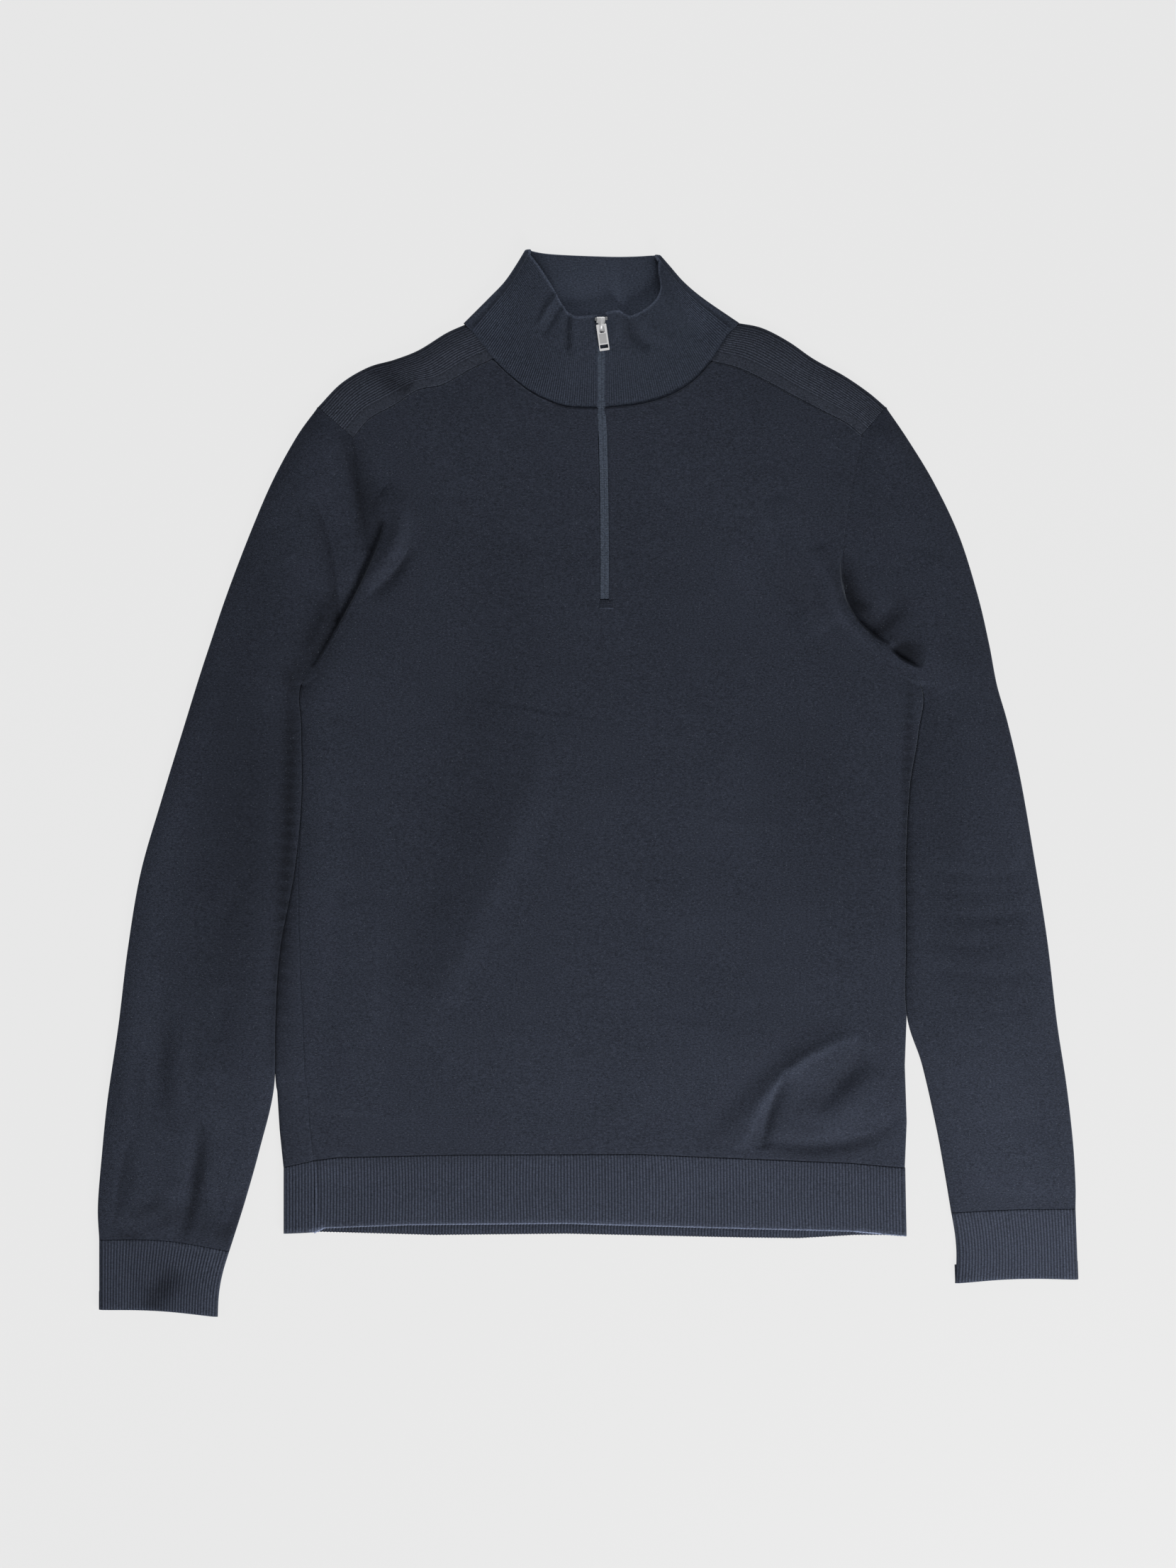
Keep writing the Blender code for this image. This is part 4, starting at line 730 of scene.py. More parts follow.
def face_up(obj: bpy.types.Object) -> None:
    """Turn a piece's faces round if its upper ones look down."""
    mesh = obj.data
    count = len(mesh.polygons)
    normal, centre = np.empty(3 * count), np.empty(3 * count)
    mesh.polygons.foreach_get("normal", normal)
    mesh.polygons.foreach_get("center", centre)
    z = centre[2::3]
    upper = z > 0.7 * z.max()
    if normal[2::3][upper].mean() < 0:
        with editing():
            bpy.ops.mesh.flip_normals()


class Cut(NamedTuple):
    """A cut piece: its name, what it stands for and how it is cut and lies, in mm."""

    name: str
    node: str
    slot: str
    flat: tuple[float, float]
    rests_on: tuple[str, ...]
    held: Held = Held.LAID
    area: Optional[float] = None      # where the cut is no rectangle


class ClothPiece:
    """A cut piece of cloth; each kind says how it is cut and gives its grid."""

    def cut(self) -> Cut:
        """How the piece is cut and lies."""
        raise NotImplementedError

    def grid(self) -> Grid:
        """The piece's points."""
        raise NotImplementedError

    def shape(self) -> bpy.types.Object:
        """The piece without a finish."""
        return cloth_mesh(self.cut().name, self.grid())

    def build(self, finish: bpy.types.Material) -> bpy.types.Object:
        """Args:
            finish: its material.

        Returns:
            The finished object.
        """
        cut = self.cut()
        obj = self.shape()
        obj.data.materials.clear()
        obj.data.materials.append(finish)
        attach(obj, BODY)
        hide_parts(cut.node)
        spread = sum(face.area for face in obj.data.polygons) / (MM * MM)
        log.info("%s: %d faces, %.0f square mm", obj.name, len(obj.data.polygons), spread)
        return obj


# ---------------------------------------------------------------- finishes

MIX_A, MIX_B, MIX_OUT = 6, 7, 2      # a Mix node's colour sockets
LINT_COLOUR = (0.17, 0.19, 0.23, 1.0)
LINT_SHOWN = 0.22            # how much of the cloth's colour a speck of lint covers
SHEEN_TINT = (0.62, 0.70, 0.86, 1.0)
LOOP_LEVEL = 0.45            # the loops' mean height, which leaves the colour as it is
FINE_NOISE, CLOUD_NOISE = 760.0, 18.0
SPECKS = 560.0


def add_nodes(tree: bpy.types.NodeTree, **kinds: str) -> dict[str, bpy.types.Node]:
    """New nodes of the given kinds, by name."""
    return {name: tree.nodes.new(kind) for name, kind in kinds.items()}


class Socket(NamedTuple):
    """A node group's socket: its name, kind, whether it is an output, and its start value."""

    name: str
    kind: str
    out: bool = False
    value: Optional[float] = None


def node_group(name: str, sockets: Sequence[Socket]
               ) -> tuple[bpy.types.NodeTree, bpy.types.Node, bpy.types.Node]:
    """A new shader node group with named sockets.

    Args:
        name: the group's name.
        sockets: its sockets, in order.

    Returns:
        The group, its input node and its output node.
    """
    group = bpy.data.node_groups.new(name, "ShaderNodeTree")
    for s in sockets:
        made = group.interface.new_socket(name=s.name, in_out="OUTPUT" if s.out else "INPUT",
                                          socket_type=s.kind)
        if s.value is not None:
            made.default_value = s.value
    return group, group.nodes.new("NodeGroupInput"), group.nodes.new("NodeGroupOutput")


def set_inputs(node: bpy.types.Node, **values: object) -> None:
    """Give a node's sockets their values; an underscore stands for a space in a name."""
    for name, value in values.items():
        node.inputs[name.replace("_", " ")].default_value = value


def new_material(name: str) -> tuple[bpy.types.Material, bpy.types.NodeTree, bpy.types.Node]:
    """A new material, its node tree and its shader."""
    material = bpy.data.materials.new(name)
    material.use_nodes = True
    return material, material.node_tree, material.node_tree.nodes["Principled BSDF"]


def math_node(tree: bpy.types.NodeTree, how: str, *values: object) -> bpy.types.NodeSocket:
    """The output of a Math node whose inputs are numbers or sockets."""
    node = tree.nodes.new("ShaderNodeMath")
    node.operation = how
    for k, value in enumerate(values):
        if isinstance(value, (int, float)):
            node.inputs[k].default_value = value
        else:
            tree.links.new(value, node.inputs[k])
    return node.outputs[0]


def shaded(tree: bpy.types.NodeTree, colour: Sequence[float],
           value: bpy.types.NodeSocket) -> bpy.types.NodeSocket:
    """A colour times a value.

    Args:
        tree: where the nodes go.
        colour: linear red, green and blue.
        value: the output that gives the value.

    Returns:
        The output with the product.
    """
    mixer, grey = tree.nodes.new("ShaderNodeMix"), tree.nodes.new("ShaderNodeCombineColor")
    mixer.data_type = "RGBA"
    mixer.blend_type = "MULTIPLY"
    set_inputs(mixer, Factor=1.0)
    mixer.inputs[MIX_A].default_value = (*colour, 1.0)
    for channel in grey.inputs[:3]:
        tree.links.new(value, channel)
    tree.links.new(grey.outputs[0], mixer.inputs[MIX_B])
    return mixer.outputs[MIX_OUT]


def loops_group() -> bpy.types.NodeTree:
    """Knit loops along the cloth: V-shaped stitches in columns, as a height."""
    group, given, gives = node_group("knit_loops", (
        Socket("Weave", "NodeSocketVector"),
        Socket("Wale", "NodeSocketFloat", value=0.0012),
        Socket("Course", "NodeSocketFloat", value=0.0010),
        Socket("Height", "NodeSocketFloat", out=True),
    ))
    split = group.nodes.new("ShaderNodeSeparateXYZ")
    group.links.new(given.outputs["Weave"], split.inputs[0])
    u = math_node(group, "DIVIDE", split.outputs[0], given.outputs["Wale"])
    v = math_node(group, "DIVIDE", split.outputs[1], given.outputs["Course"])
    arm = math_node(group, "PINGPONG", u, 0.5)
    leaned = math_node(group, "MULTIPLY_ADD", arm, 1.3, v)
    yarn = math_node(group, "SINE", math_node(group, "MULTIPLY", leaned, 2 * math.pi))
    wale = math_node(group, "SINE", math_node(group, "MULTIPLY", arm, 2 * math.pi))
    body = math_node(group, "MULTIPLY", wale, math_node(group, "MULTIPLY_ADD", yarn, 0.35, 0.65))
    group.links.new(body, gives.inputs["Height"])
    return group


def fuzz_group() -> bpy.types.NodeTree:
    """Heather, patches of wear and sparse lint, as a tone and a lint mask."""
    group, given, gives = node_group("fuzz_and_lint", (
        Socket("Place", "NodeSocketVector"),
        Socket("Heather", "NodeSocketFloat", value=0.25),
        Socket("Lint", "NodeSocketFloat", value=0.06),
        Socket("Tone", "NodeSocketFloat", out=True),
        Socket("Lint Mask", "NodeSocketFloat", out=True),
    ))
    n = add_nodes(group, stretch="ShaderNodeMapping", fine="ShaderNodeTexNoise",
                  cloud="ShaderNodeTexNoise", specks="ShaderNodeTexVoronoi",
                  chance="ShaderNodeSeparateColor")
    set_inputs(n["stretch"], Scale=(0.75, 1.35, 1.0))
    group.links.new(given.outputs["Place"], n["stretch"].inputs["Vector"])
    for node, scale in ((n["fine"], FINE_NOISE), (n["cloud"], CLOUD_NOISE)):
        set_inputs(node, Scale=scale, Detail=3.0, Roughness=0.75)
        group.links.new(n["stretch"].outputs[0], node.inputs["Vector"])
    set_inputs(n["specks"], Scale=SPECKS)
    group.links.new(given.outputs["Place"], n["specks"].inputs["Vector"])
    fine = math_node(group, "SUBTRACT", n["fine"].outputs[0], 0.5)
    cloud = math_node(group, "SUBTRACT", n["cloud"].outputs[0], 0.5)
    both = math_node(group, "MULTIPLY_ADD", cloud, 0.5, math_node(group, "MULTIPLY", fine, 4.4))
    group.links.new(math_node(group, "MULTIPLY_ADD", both, given.outputs["Heather"], 1.0),
                    gives.inputs["Tone"])
    group.links.new(n["specks"].outputs["Color"], n["chance"].inputs[0])
    picked = math_node(group, "LESS_THAN", n["chance"].outputs[0], given.outputs["Lint"])
    reach = math_node(group, "MULTIPLY_ADD", n["chance"].outputs[1], 0.14, 0.12)
    share = math_node(group, "DIVIDE", n["specks"].outputs["Distance"], reach)
    near = math_node(group, "SUBTRACT", 1.0, share)
    soft = math_node(group, "MULTIPLY", near, 2.5)
    soft.node.use_clamp = True
    group.links.new(math_node(group, "MULTIPLY", picked, soft), gives.inputs["Lint Mask"])
    return group


@dataclass(frozen=True)
class KnitFinish:
    """Dark knit: loops along the weave, heather, lint, and the painted light and shade kept on the
    points.
    """

    name: str
    colour: tuple[float, float, float]
    wale: float = 0.00115
    course: float = 0.00095
    loop_depth: float = 0.00022
    loop_shade: float = 0.35
    # how strongly the crest values paint shade and light
    valley: float = 0.35
    heather: float = 0.62
    lint: float = 0.3
    sheen: float = 0.12

    def build(self, groups: dict[str, bpy.types.NodeTree]) -> bpy.types.Material:
        """The finished material.

        Args:
            groups: the shared node groups by name.

        Returns:
            The material.
        """
        material, tree, shader = new_material(self.name)
        set_inputs(shader, Roughness=0.95, Specular_IOR_Level=0.08, Sheen_Weight=self.sheen,
                   Sheen_Roughness=0.45, Sheen_Tint=SHEEN_TINT)
        n = add_nodes(tree, uv="ShaderNodeUVMap", place="ShaderNodeTexCoord",
                      loops="ShaderNodeGroup", fuzz="ShaderNodeGroup",
                      crest="ShaderNodeAttribute", nap="ShaderNodeAttribute",
                      bump="ShaderNodeBump", lint="ShaderNodeMix")
        n["uv"].uv_map = "weave"
        for name in ("loops", "fuzz"):
            n[name].node_tree = groups[name]
        for name in ("crest", "nap"):
            n[name].attribute_name = name
        tree.links.new(n["uv"].outputs[0], n["loops"].inputs["Weave"])
        tree.links.new(n["place"].outputs["Object"], n["fuzz"].inputs["Place"])
        set_inputs(n["loops"], Wale=self.wale, Course=self.course)
        set_inputs(n["fuzz"], Heather=self.heather, Lint=self.lint)
        # the knit's loop pattern in the colour: painted shade where the loops lie low
        loop = math_node(tree, "MULTIPLY_ADD", n["loops"].outputs[0], self.loop_shade,
                         1 - LOOP_LEVEL * self.loop_shade)
        # painted shade in the ribs' valleys and painted light on their crests, with the painted
        # highlights and shade that crest values carry at edges and seams
        above = math_node(tree, "SUBTRACT", n["crest"].outputs["Fac"], PLAIN)
        tone = math_node(tree, "MULTIPLY_ADD", above, self.valley / PLAIN, 1.0)
        # the colour also takes the painted light and shade kept on the points
        for value in (loop, n["fuzz"].outputs["Tone"], n["nap"].outputs["Fac"]):
            tone = math_node(tree, "MULTIPLY", tone, value)
        n["lint"].data_type = "RGBA"
        n["lint"].inputs[MIX_B].default_value = LINT_COLOUR
        tree.links.new(shaded(tree, self.colour, tone), n["lint"].inputs[MIX_A])
        tree.links.new(math_node(tree, "MULTIPLY", n["fuzz"].outputs["Lint Mask"], LINT_SHOWN),
                       n["lint"].inputs["Factor"])
        tree.links.new(n["lint"].outputs[MIX_OUT], shader.inputs["Base Color"])
        set_inputs(n["bump"], Distance=self.loop_depth, Strength=0.6)
        tree.links.new(n["loops"].outputs[0], n["bump"].inputs["Height"])
        tree.links.new(n["bump"].outputs[0], shader.inputs["Normal"])
        return material


class Recess(NamedTuple):
    """A pressed, darker field on a metal face: middle, half sizes and turn, in mm and radians."""

    middle: tuple[float, float]
    half: tuple[float, float]
    turn: float
    edge: float = 0.35
    shade: float = 0.66


PULL_RECESS = Recess((11.6, 344.3), (2.9, 3.9), math.radians(8.0))      # below the pull's eye


@dataclass(frozen=True)
class MetalFinish:
    """Satin nickel with fine brushing, and a darker recess where it has one."""

    name: str = "satin_nickel"
    colour: tuple[float, float, float] = (0.93, 0.93, 0.94)
    metallic: float = 0.45
    brushing: tuple[float, float, float] = (9000.0, 900.0, 9000.0)
    roughness: tuple[float, float] = (0.28, 0.46)
    tones: tuple[float, float] = (0.85, 1.05)
    scratch: float = 0.00002
    recess: Optional[Recess] = None

    def recess_shade(self, tree: bpy.types.NodeTree, place: bpy.types.NodeSocket,
                     brush: bpy.types.NodeSocket) -> bpy.types.NodeSocket:
        """The brushing's value, darker in the recess.

        Args:
            tree: where the nodes go.
            place: the output that gives the place.
            brush: the output that gives the brushing's value.

        Returns:
            The output with the darkened value.
        """
        n = add_nodes(tree, own="ShaderNodeMapping", parts="ShaderNodeSeparateXYZ",
                      across="ShaderNodeMapRange", along="ShaderNodeMapRange")
        n["own"].vector_type = "TEXTURE"
        set_inputs(n["own"], Location=(*(v * MM for v in self.recess.middle), 0.0),
                   Rotation=(0.0, 0.0, self.recess.turn))
        tree.links.new(place, n["own"].inputs[0])
        tree.links.new(n["own"].outputs[0], n["parts"].inputs[0])
        for name, half, part in zip(("across", "along"), self.recess.half, n["parts"].outputs):
            set_inputs(n[name], From_Min=(half - self.recess.edge) * MM, From_Max=half * MM,
                       To_Min=1.0, To_Max=0.0)
            tree.links.new(math_node(tree, "ABSOLUTE", part), n[name].inputs["Value"])
        inside = math_node(tree, "MULTIPLY", n["across"].outputs[0], n["along"].outputs[0])
        factor = math_node(tree, "MULTIPLY_ADD", inside, self.recess.shade - 1.0, 1.0)
        return math_node(tree, "MULTIPLY", factor, brush)

    def build(self) -> bpy.types.Material:
        """The finished material."""
        material, tree, shader = new_material(self.name)
        set_inputs(shader, Metallic=self.metallic)
        n = add_nodes(tree, place="ShaderNodeTexCoord", stretch="ShaderNodeMapping",
                      brush="ShaderNodeTexNoise", rough="ShaderNodeMapRange",
                      tone="ShaderNodeMapRange", bump="ShaderNodeBump")
        set_inputs(n["stretch"], Scale=self.brushing)
        set_inputs(n["brush"], Scale=1.0, Detail=3.0)
        tree.links.new(n["place"].outputs["Object"], n["stretch"].inputs[0])
        tree.links.new(n["stretch"].outputs[0], n["brush"].inputs["Vector"])
        for name, (low, high) in (("rough", self.roughness), ("tone", self.tones)):
            set_inputs(n[name], To_Min=low, To_Max=high)
            tree.links.new(n["brush"].outputs[0], n[name].inputs["Value"])
        tree.links.new(n["rough"].outputs[0], shader.inputs["Roughness"])
        shade = n["tone"].outputs[0]
        if self.recess:
            shade = self.recess_shade(tree, n["place"].outputs["Object"], shade)
        tree.links.new(shaded(tree, self.colour, shade), shader.inputs["Base Color"])
        set_inputs(n["bump"], Distance=self.scratch)
        tree.links.new(n["brush"].outputs[0], n["bump"].inputs["Height"])
        tree.links.new(n["bump"].outputs[0], shader.inputs["Normal"])
        return material


# ---------------------------------------------------------------- panels and sleeves

EDGE_OFFSETS = (0.0, 0.35, 1.0, 1.8, 2.6)        # a panel's first columns, from its seam inwards
EDGE_DEPTHS = (0.5, 0.2, 0.05, 0.0, 0.0)
ARM_OFFSETS = (0.0, 0.0, 0.35, 1.0, 1.8)
ARM_DEPTHS = (0.7, 0.12, 0.03, 0.0, 0.0)
ARM_START = 2.6              # from an armhole seam to the first plain column
SIDE_START = 0.6             # from a rim to the first plain column
TOUCHING = 12.05             # the left sleeve touches the body down to this station
TOUCH_FADE = 0.3


def body_side(side: Side, t: Array) -> Array:
    """Plan points of the body's side at stations t: armhole seam, then fold beside the sleeve."""
    upper = smooth(SLEEVES[side], np.minimum(t, APEX))[:, 2:]
    fall = np.clip(t - APEX, 0, None)
    edge = np.where((t > APEX)[:, None], plan_columns(BODY_SIDE[side], fall), upper)
    if side is Side.LEFT:
        beside = smooth(SLEEVES[side], np.minimum(t, HEM_STATION - 1))[:, 2]
        touching = np.clip((TOUCHING - t) / TOUCH_FADE, 0, 1) * (t > APEX)
        edge[:, 0] = mix(edge[:, 0], beside, touching)
    edge[:, 0] += side.value * np.where(t >= UNDERARM, PRESSED, 0.0)
    return edge


def body_stations() -> Array:
    """Station numbers of the body's rows, about 2 mm apart."""
    return np.concatenate([np.linspace(0, UNDERARM, 126)[:-1],
                           np.linspace(UNDERARM, APEX, 126)[:-1],
                           np.linspace(APEX, HEM_STATION, 56)])


def side_frame(side: Side, t: Array) -> tuple[Array, Array]:
    """Inward directions along a body side, and how far over the top its seam lies."""
    inward = np.tile((-side.value * 1.0, 0.0), (len(t), 1))
    return inward, look_up(SIDE_SEAM, t) if side is Side.LEFT else np.zeros_like(t)


def side_turn(edge: Array, inward: Array, along: Array, air: float = 1.0) -> tuple[Array, Array]:
    """Points and normals round a body side, lifted where they lie on top.

    Args:
        edge: plan points of the side's outermost line, or one point.
        inward: unit plan directions into the piece.
        along: arc lengths from the outermost line, positive over the top.
        air: share of the lift.

    Returns:
        The points and their outward normals.
    """
    p, n = rim(edge, inward, along, RIM)
    p[:, 2] += lifted(p[:, :2], np.abs(p[:, 0] - edge[..., 0]) - RIM) * (along >= QUARTER) * air
    return p, n


def fan(top: Array, first: Array, last: Array, down: Array) -> Iterator[Array]:
    """Plan points of a panel's columns, each starting on its own point of the top line.

    Args:
        top: the top line's points, one for each column.
        first: the first column's points.
        last: the last column's points.
        down: how far down each row lies, from 0 to 1.

    Yields:
        Each column's points.
    """
    share = (top[:, 0] - top[0, 0]) / (top[-1, 0] - top[0, 0])
    for k, f in enumerate(share):
        yield mix(first, last, f) + np.outer(1 - down, top[k] - mix(top[0], top[-1], f))


def meet(points: Array, row: int, seam: Sequence, weight: Array) -> None:
    """Move a grid's rows in y, each by its weight, so that the given row meets a seam."""
    points[:, :, 1] += np.outer(weight, look_up(seam, points[row, :, 0]) - points[row, :, 1])


@dataclass
class FrontPanel(ClothPiece):
    """The front: two halves from armhole or side seam to the zip, joined below the slit."""

    yoke_columns: int = 64
    neck_columns: int = 48
    slit_steps: tuple[float, ...] = (0.25, 0.5, 0.75)
    slit_station: float = 4.5     # where the slit ends
    edge_sunk: float = 0.4        # the slit's edges turn down by this
    beside_sunk: float = 0.02     # and their neighbours by this

    def cut(self) -> Cut:
        """How the panel is cut and lies."""
        return Cut("front_cloth", "front_panel", "knit", (490.0, 630.0), ("back_cloth",))

    def top_line(self, side: Side) -> Array:
        """Plan points of the upper edge, from the armhole to the zip."""
        across = smooth(YOKES[side], np.linspace(6, 0, self.yoke_columns + 1))[:, 2:]
        neck = even(NECK[side], np.linspace(1, 0, self.neck_columns + 1))
        return np.vstack([across, neck[1:]])

    def rows(self) -> tuple[Array, Array]:
        """How far down each row lies, from 0 to 1, and the zip line's y in it."""
        t = body_stations()
        y = (body_side(Side.LEFT, t)[:, 1] + body_side(Side.RIGHT, t)[:, 1]) / 2
        down = (y[0] - y) / (y[0] - y[-1])
        at_end = float(np.interp(self.slit_station, t, down))
        zip_y = np.where(down <= at_end, mix(ZIP_NECK_Y, ZIP_END_Y, down / at_end),
                         mix(ZIP_END_Y, HEM_MIDDLE_Y, (down - at_end) / (1 - at_end)))
        return down, zip_y

    def half(self, side: Side) -> Array:
        """Outer points of one half, side to zip."""
        t = body_stations()
        down, zip_y = self.rows()
        edge = body_side(side, t)
        inward, lap = side_frame(side, t)
        folded = t >= UNDERARM
        columns = []
        for k, depth in enumerate(EDGE_DEPTHS):
            p, n = side_turn(edge, inward, lap + EDGE_OFFSETS[k])
            xy = edge + inward * ARM_OFFSETS[k]
            arm = over(xy, 2 * RIM + lifted(xy, np.full(len(t), LOFT_REACH)) - ARM_DEPTHS[k])
            columns.append(np.where(folded[:, None], p - depth * n, arm))
        first = edge + inward * np.where(folded, lap + RIM + SIDE_START, ARM_START)[:, None]
        half_slit = np.where(zip_y >= ZIP_END_Y, look_up(TAPE_SHOWN, zip_y), SLIT_HALF)
        last = np.column_stack([zip_x(zip_y) + side.value * half_slit, zip_y])
        corner = np.array(YOKES[side][-1][:2])
        for xy in fan(self.top_line(side), first, last, down):
            from_side = np.where(folded, np.abs(xy[:, 0] - edge[:, 0]) - RIM, LOFT_REACH)
            shoulder = np.linalg.norm(xy - corner, axis=1) - RIM
            columns.append(over(xy, 2 * RIM + lifted(xy, np.minimum(from_side, shoulder))))
        return np.stack(columns, axis=1)

    def grid(self) -> Grid:
        """The panel's grid, with the slit's cells left out."""
        left, right = self.half(Side.LEFT), self.half(Side.RIGHT)[:, ::-1]
        down, zip_y = self.rows()
        bridge = [mix(left[:, -1], right[:, 0], f) for f in self.slit_steps]
        points = np.concatenate([left, np.stack(bridge, axis=1), right], axis=1)
        meet(points, -1, HEM_SEAM, down ** 8)
        seam = np.vstack([self.top_line(Side.LEFT), self.top_line(Side.RIGHT)[::-1]])
        meet(points, 0, seam, (1 - down) ** 16)
        slit = zip_y > ZIP_END_Y
        slit_left, slit_right = left.shape[1] - 1, left.shape[1] + len(bridge)
        for column, way in ((slit_left, 1), (slit_right, -1)):
            points[slit, column, 2] -= self.edge_sunk
            points[slit, column - way, 2] -= self.beside_sunk
        grid = Grid.of(points).rolled(0, False).rolled(0, True, dark=GROOVE_DARK)
        rows, cols = grid.points.shape[:2]
        grid.drop = np.zeros((rows - 1, cols - 1), bool)
        grid.drop[:int(np.sum(slit)) + len(ROLL) - 1, slit_left:slit_right] = True
        return grid


def lap_line(side: Side) -> Array:
    """A yoke's edge on the underside, as its neck and armhole ends."""
    ends = np.array((YOKES[side][0], YOKES[side][-1]), float)
    return mix(ends[:, :2], ends[:, 2:], LAP_SHARE)


def back_neck(shares: Array) -> Array:
    """Plan points of the back neck seam at shares of its length, left to right."""
    return even((lap_line(Side.LEFT)[0], *NECK_BACK, lap_line(Side.RIGHT)[0]), shares)


@dataclass
class BackPanel(ClothPiece):
    """The back: flat underneath, lapped over the left side as far as the side seam."""

    neck_columns: int = 24
    wrap_steps: int = 14
    arm_inset: float = 1.5        # the turn's reach inwards along the armhole
    seam_depth: float = 0.5

    def cut(self) -> Cut:
        """How the panel is cut and lies."""
        return Cut("back_cloth", "back_panel", "knit", (530.0, 645.0), ("floor",))

    def lap_columns(self, side: Side, t: Array, edge: Array) -> list[Array]:
        """Columns round a side, from the seam to just before the flat underside."""
        inward, lap = side_frame(side, t)
        columns = []
        for k in range(self.wrap_steps):
            share = k / self.wrap_steps
            p, n = side_turn(edge, inward, mix(lap, -QUARTER, share ** 1.1))
            p = p - (self.seam_depth if k == 0 else 0.0) * n
            under = over(edge + inward * (self.arm_inset * share), WALL * (1 - share))
            columns.append(np.where((t >= UNDERARM)[:, None], p, under))
        return columns

    def grid(self) -> Grid:
        """The panel's grid, left seam to right seam round the underside."""
        t = np.concatenate([[-0.01], body_stations()])
        laps = {side: lap_line(side) for side in Side}
        sides = {}
        for side in Side:
            sides[side] = body_side(side, np.maximum(t, 0))
            sides[side][0] = laps[side][1]
        left, right = sides[Side.LEFT], sides[Side.RIGHT]
        neck = back_neck(np.linspace(0, 1, self.neck_columns + 1))
        top = np.vstack([laps[Side.LEFT][1], laps[Side.LEFT].mean(axis=0), neck,
                         laps[Side.RIGHT].mean(axis=0), laps[Side.RIGHT][1]])
        y = (left[:, 1] + right[:, 1]) / 2
        down = (y[0] - y) / (y[0] - y[-1])
        inset = np.outer(np.where(t >= UNDERARM, RIM, WALL), (1.0, 0.0))
        columns = self.lap_columns(Side.LEFT, t, left)
        columns += [over(xy, 0.0) for xy in fan(top, left + inset, right - inset, down)]
        columns += self.lap_columns(Side.RIGHT, t, right)[::-1]
        points = np.stack(columns, axis=1)
        meet(points, -1, HEM_SEAM, down ** 8)
        return Grid.of(points).rolled(0, True, dark=GROOVE_DARK)


@dataclass
class Sleeve(ClothPiece):
    """A sleeve: open at the armhole, a flat tube below the underarm."""

    side: Side
    top_columns: int = 56
    turn_columns: int = 7
    under_shares: tuple[float, ...] = (0.0, 0.2, 0.5, 0.8, 1.0)
    crown_lean: float = 0.8       # the crown's top lies a little to one side
    cuff_crown: float = 0.25      # share of the crown that is left at the cuff
    linked: float = 3.2           # the linking stitches show down to this station
    link_dark: float = 0.4
    flat_head: float = 1.1        # the crown starts level with the yoke and is full here

    def cut(self) -> Cut:
        """How the sleeve is cut and lies."""
        return Cut(f"sleeve_{self.side.word}_cloth", f"sleeve_{self.side.word}", "knit",
                   (330.0, 640.0), ("floor",), Held.FOLDED, area=141000.0)

    def grid(self) -> Grid:
        """The sleeve's grid: inner turn, top, outer turn, underside, inner turn."""
        t = np.concatenate([np.linspace(0, UNDERARM, 124)[:-1],
                            np.linspace(UNDERARM, SLEEVE_END, 200)])      # about 2 mm apart
        rows = smooth(SLEEVES[self.side], t)
        outer, inner = rows[:, :2], rows[:, 2:]
        closed = t >= UNDERARM
        inward = unit(inner - outer)
        near = outer + inward * RIM
        far = inner - inward * np.where(closed, RIM, ARM_START)[:, None]
        bow = CUFF_BOW[self.side] * np.clip(t - (SLEEVE_END - 1), 0, 1) ** 2
        turns = range(len(ARM_OFFSETS))

        def arm_turn(k: int, upper: bool) -> Array:
            """A column of the inner turn, or of the open armhole's edge above the underarm."""
            p = turned(inner, -inward, (90 if upper else -90) * k / len(turns))
            xy = inner - inward * ARM_OFFSETS[k]
            z = np.full(len(t), ARM_DEPTHS[k])
            if upper:
                z = 2 * RIM + lifted(xy, np.full(len(t), LOFT_REACH)) - z
            return np.where(closed[:, None], p, over(xy, z))

        columns = [arm_turn(k, True) for k in turns]
        for f in np.linspace(1, 0, self.top_columns + 1):
            xy = mix(near, far, f)
            to_inner = np.where(closed, np.linalg.norm(xy - inner, axis=1), LOFT_REACH + RIM)
            gap = np.minimum(np.linalg.norm(xy - outer, axis=1), to_inner) - RIM
            xy = xy + np.outer(bow * math.sin(math.pi * f), (0.0, 1.0))
            puff = SLEEVE_CROWN * math.sin(math.pi * f ** self.crown_lean)
            puff = puff * np.clip((SLEEVE_END - t) / 2, self.cuff_crown, 1)
            puff = puff * np.sin(math.pi / 2 * np.clip(t / self.flat_head, 0, 1))
            columns.append(over(xy, 2 * RIM + lifted(xy, gap) + puff))
        for angle in np.linspace(90, -90, self.turn_columns + 2)[1:-1]:
            columns.append(turned(outer, inward, angle))
        for f in self.under_shares:
            xy = mix(near, far, f) + np.outer(bow * math.sin(math.pi * f), (0.0, 1.0))
            columns.append(over(xy, 0.0))
        columns += [arm_turn(k, False) for k in reversed(turns)]
        points = np.stack(columns, axis=1)
        tone = np.full(points.shape[:2], PLAIN)
        tone[::2, 2:5] -= np.where(t[::2] < self.linked, self.link_dark, 0.0)[:, None]
        return Grid.of(points, tone)


# ---------------------------------------------------------------- ribbed pieces

RIB_LEVEL = 0.4              # the crest value that lies on the cloth's own level
SEAM_PULL = 9                # ribs rise to their height in 1 / this of the way from a seam


def rib_wave(run: Array, pitch: float, valley_share: float = 0.3) -> Array:
    """0 in the valleys to 1 on the crests of ribs, at arc lengths across them."""
    phase = (run / pitch) % 1.0
    wave = 0.5 - 0.5 * np.cos(2 * math.pi * phase)
    return wave ** (2 * valley_share)


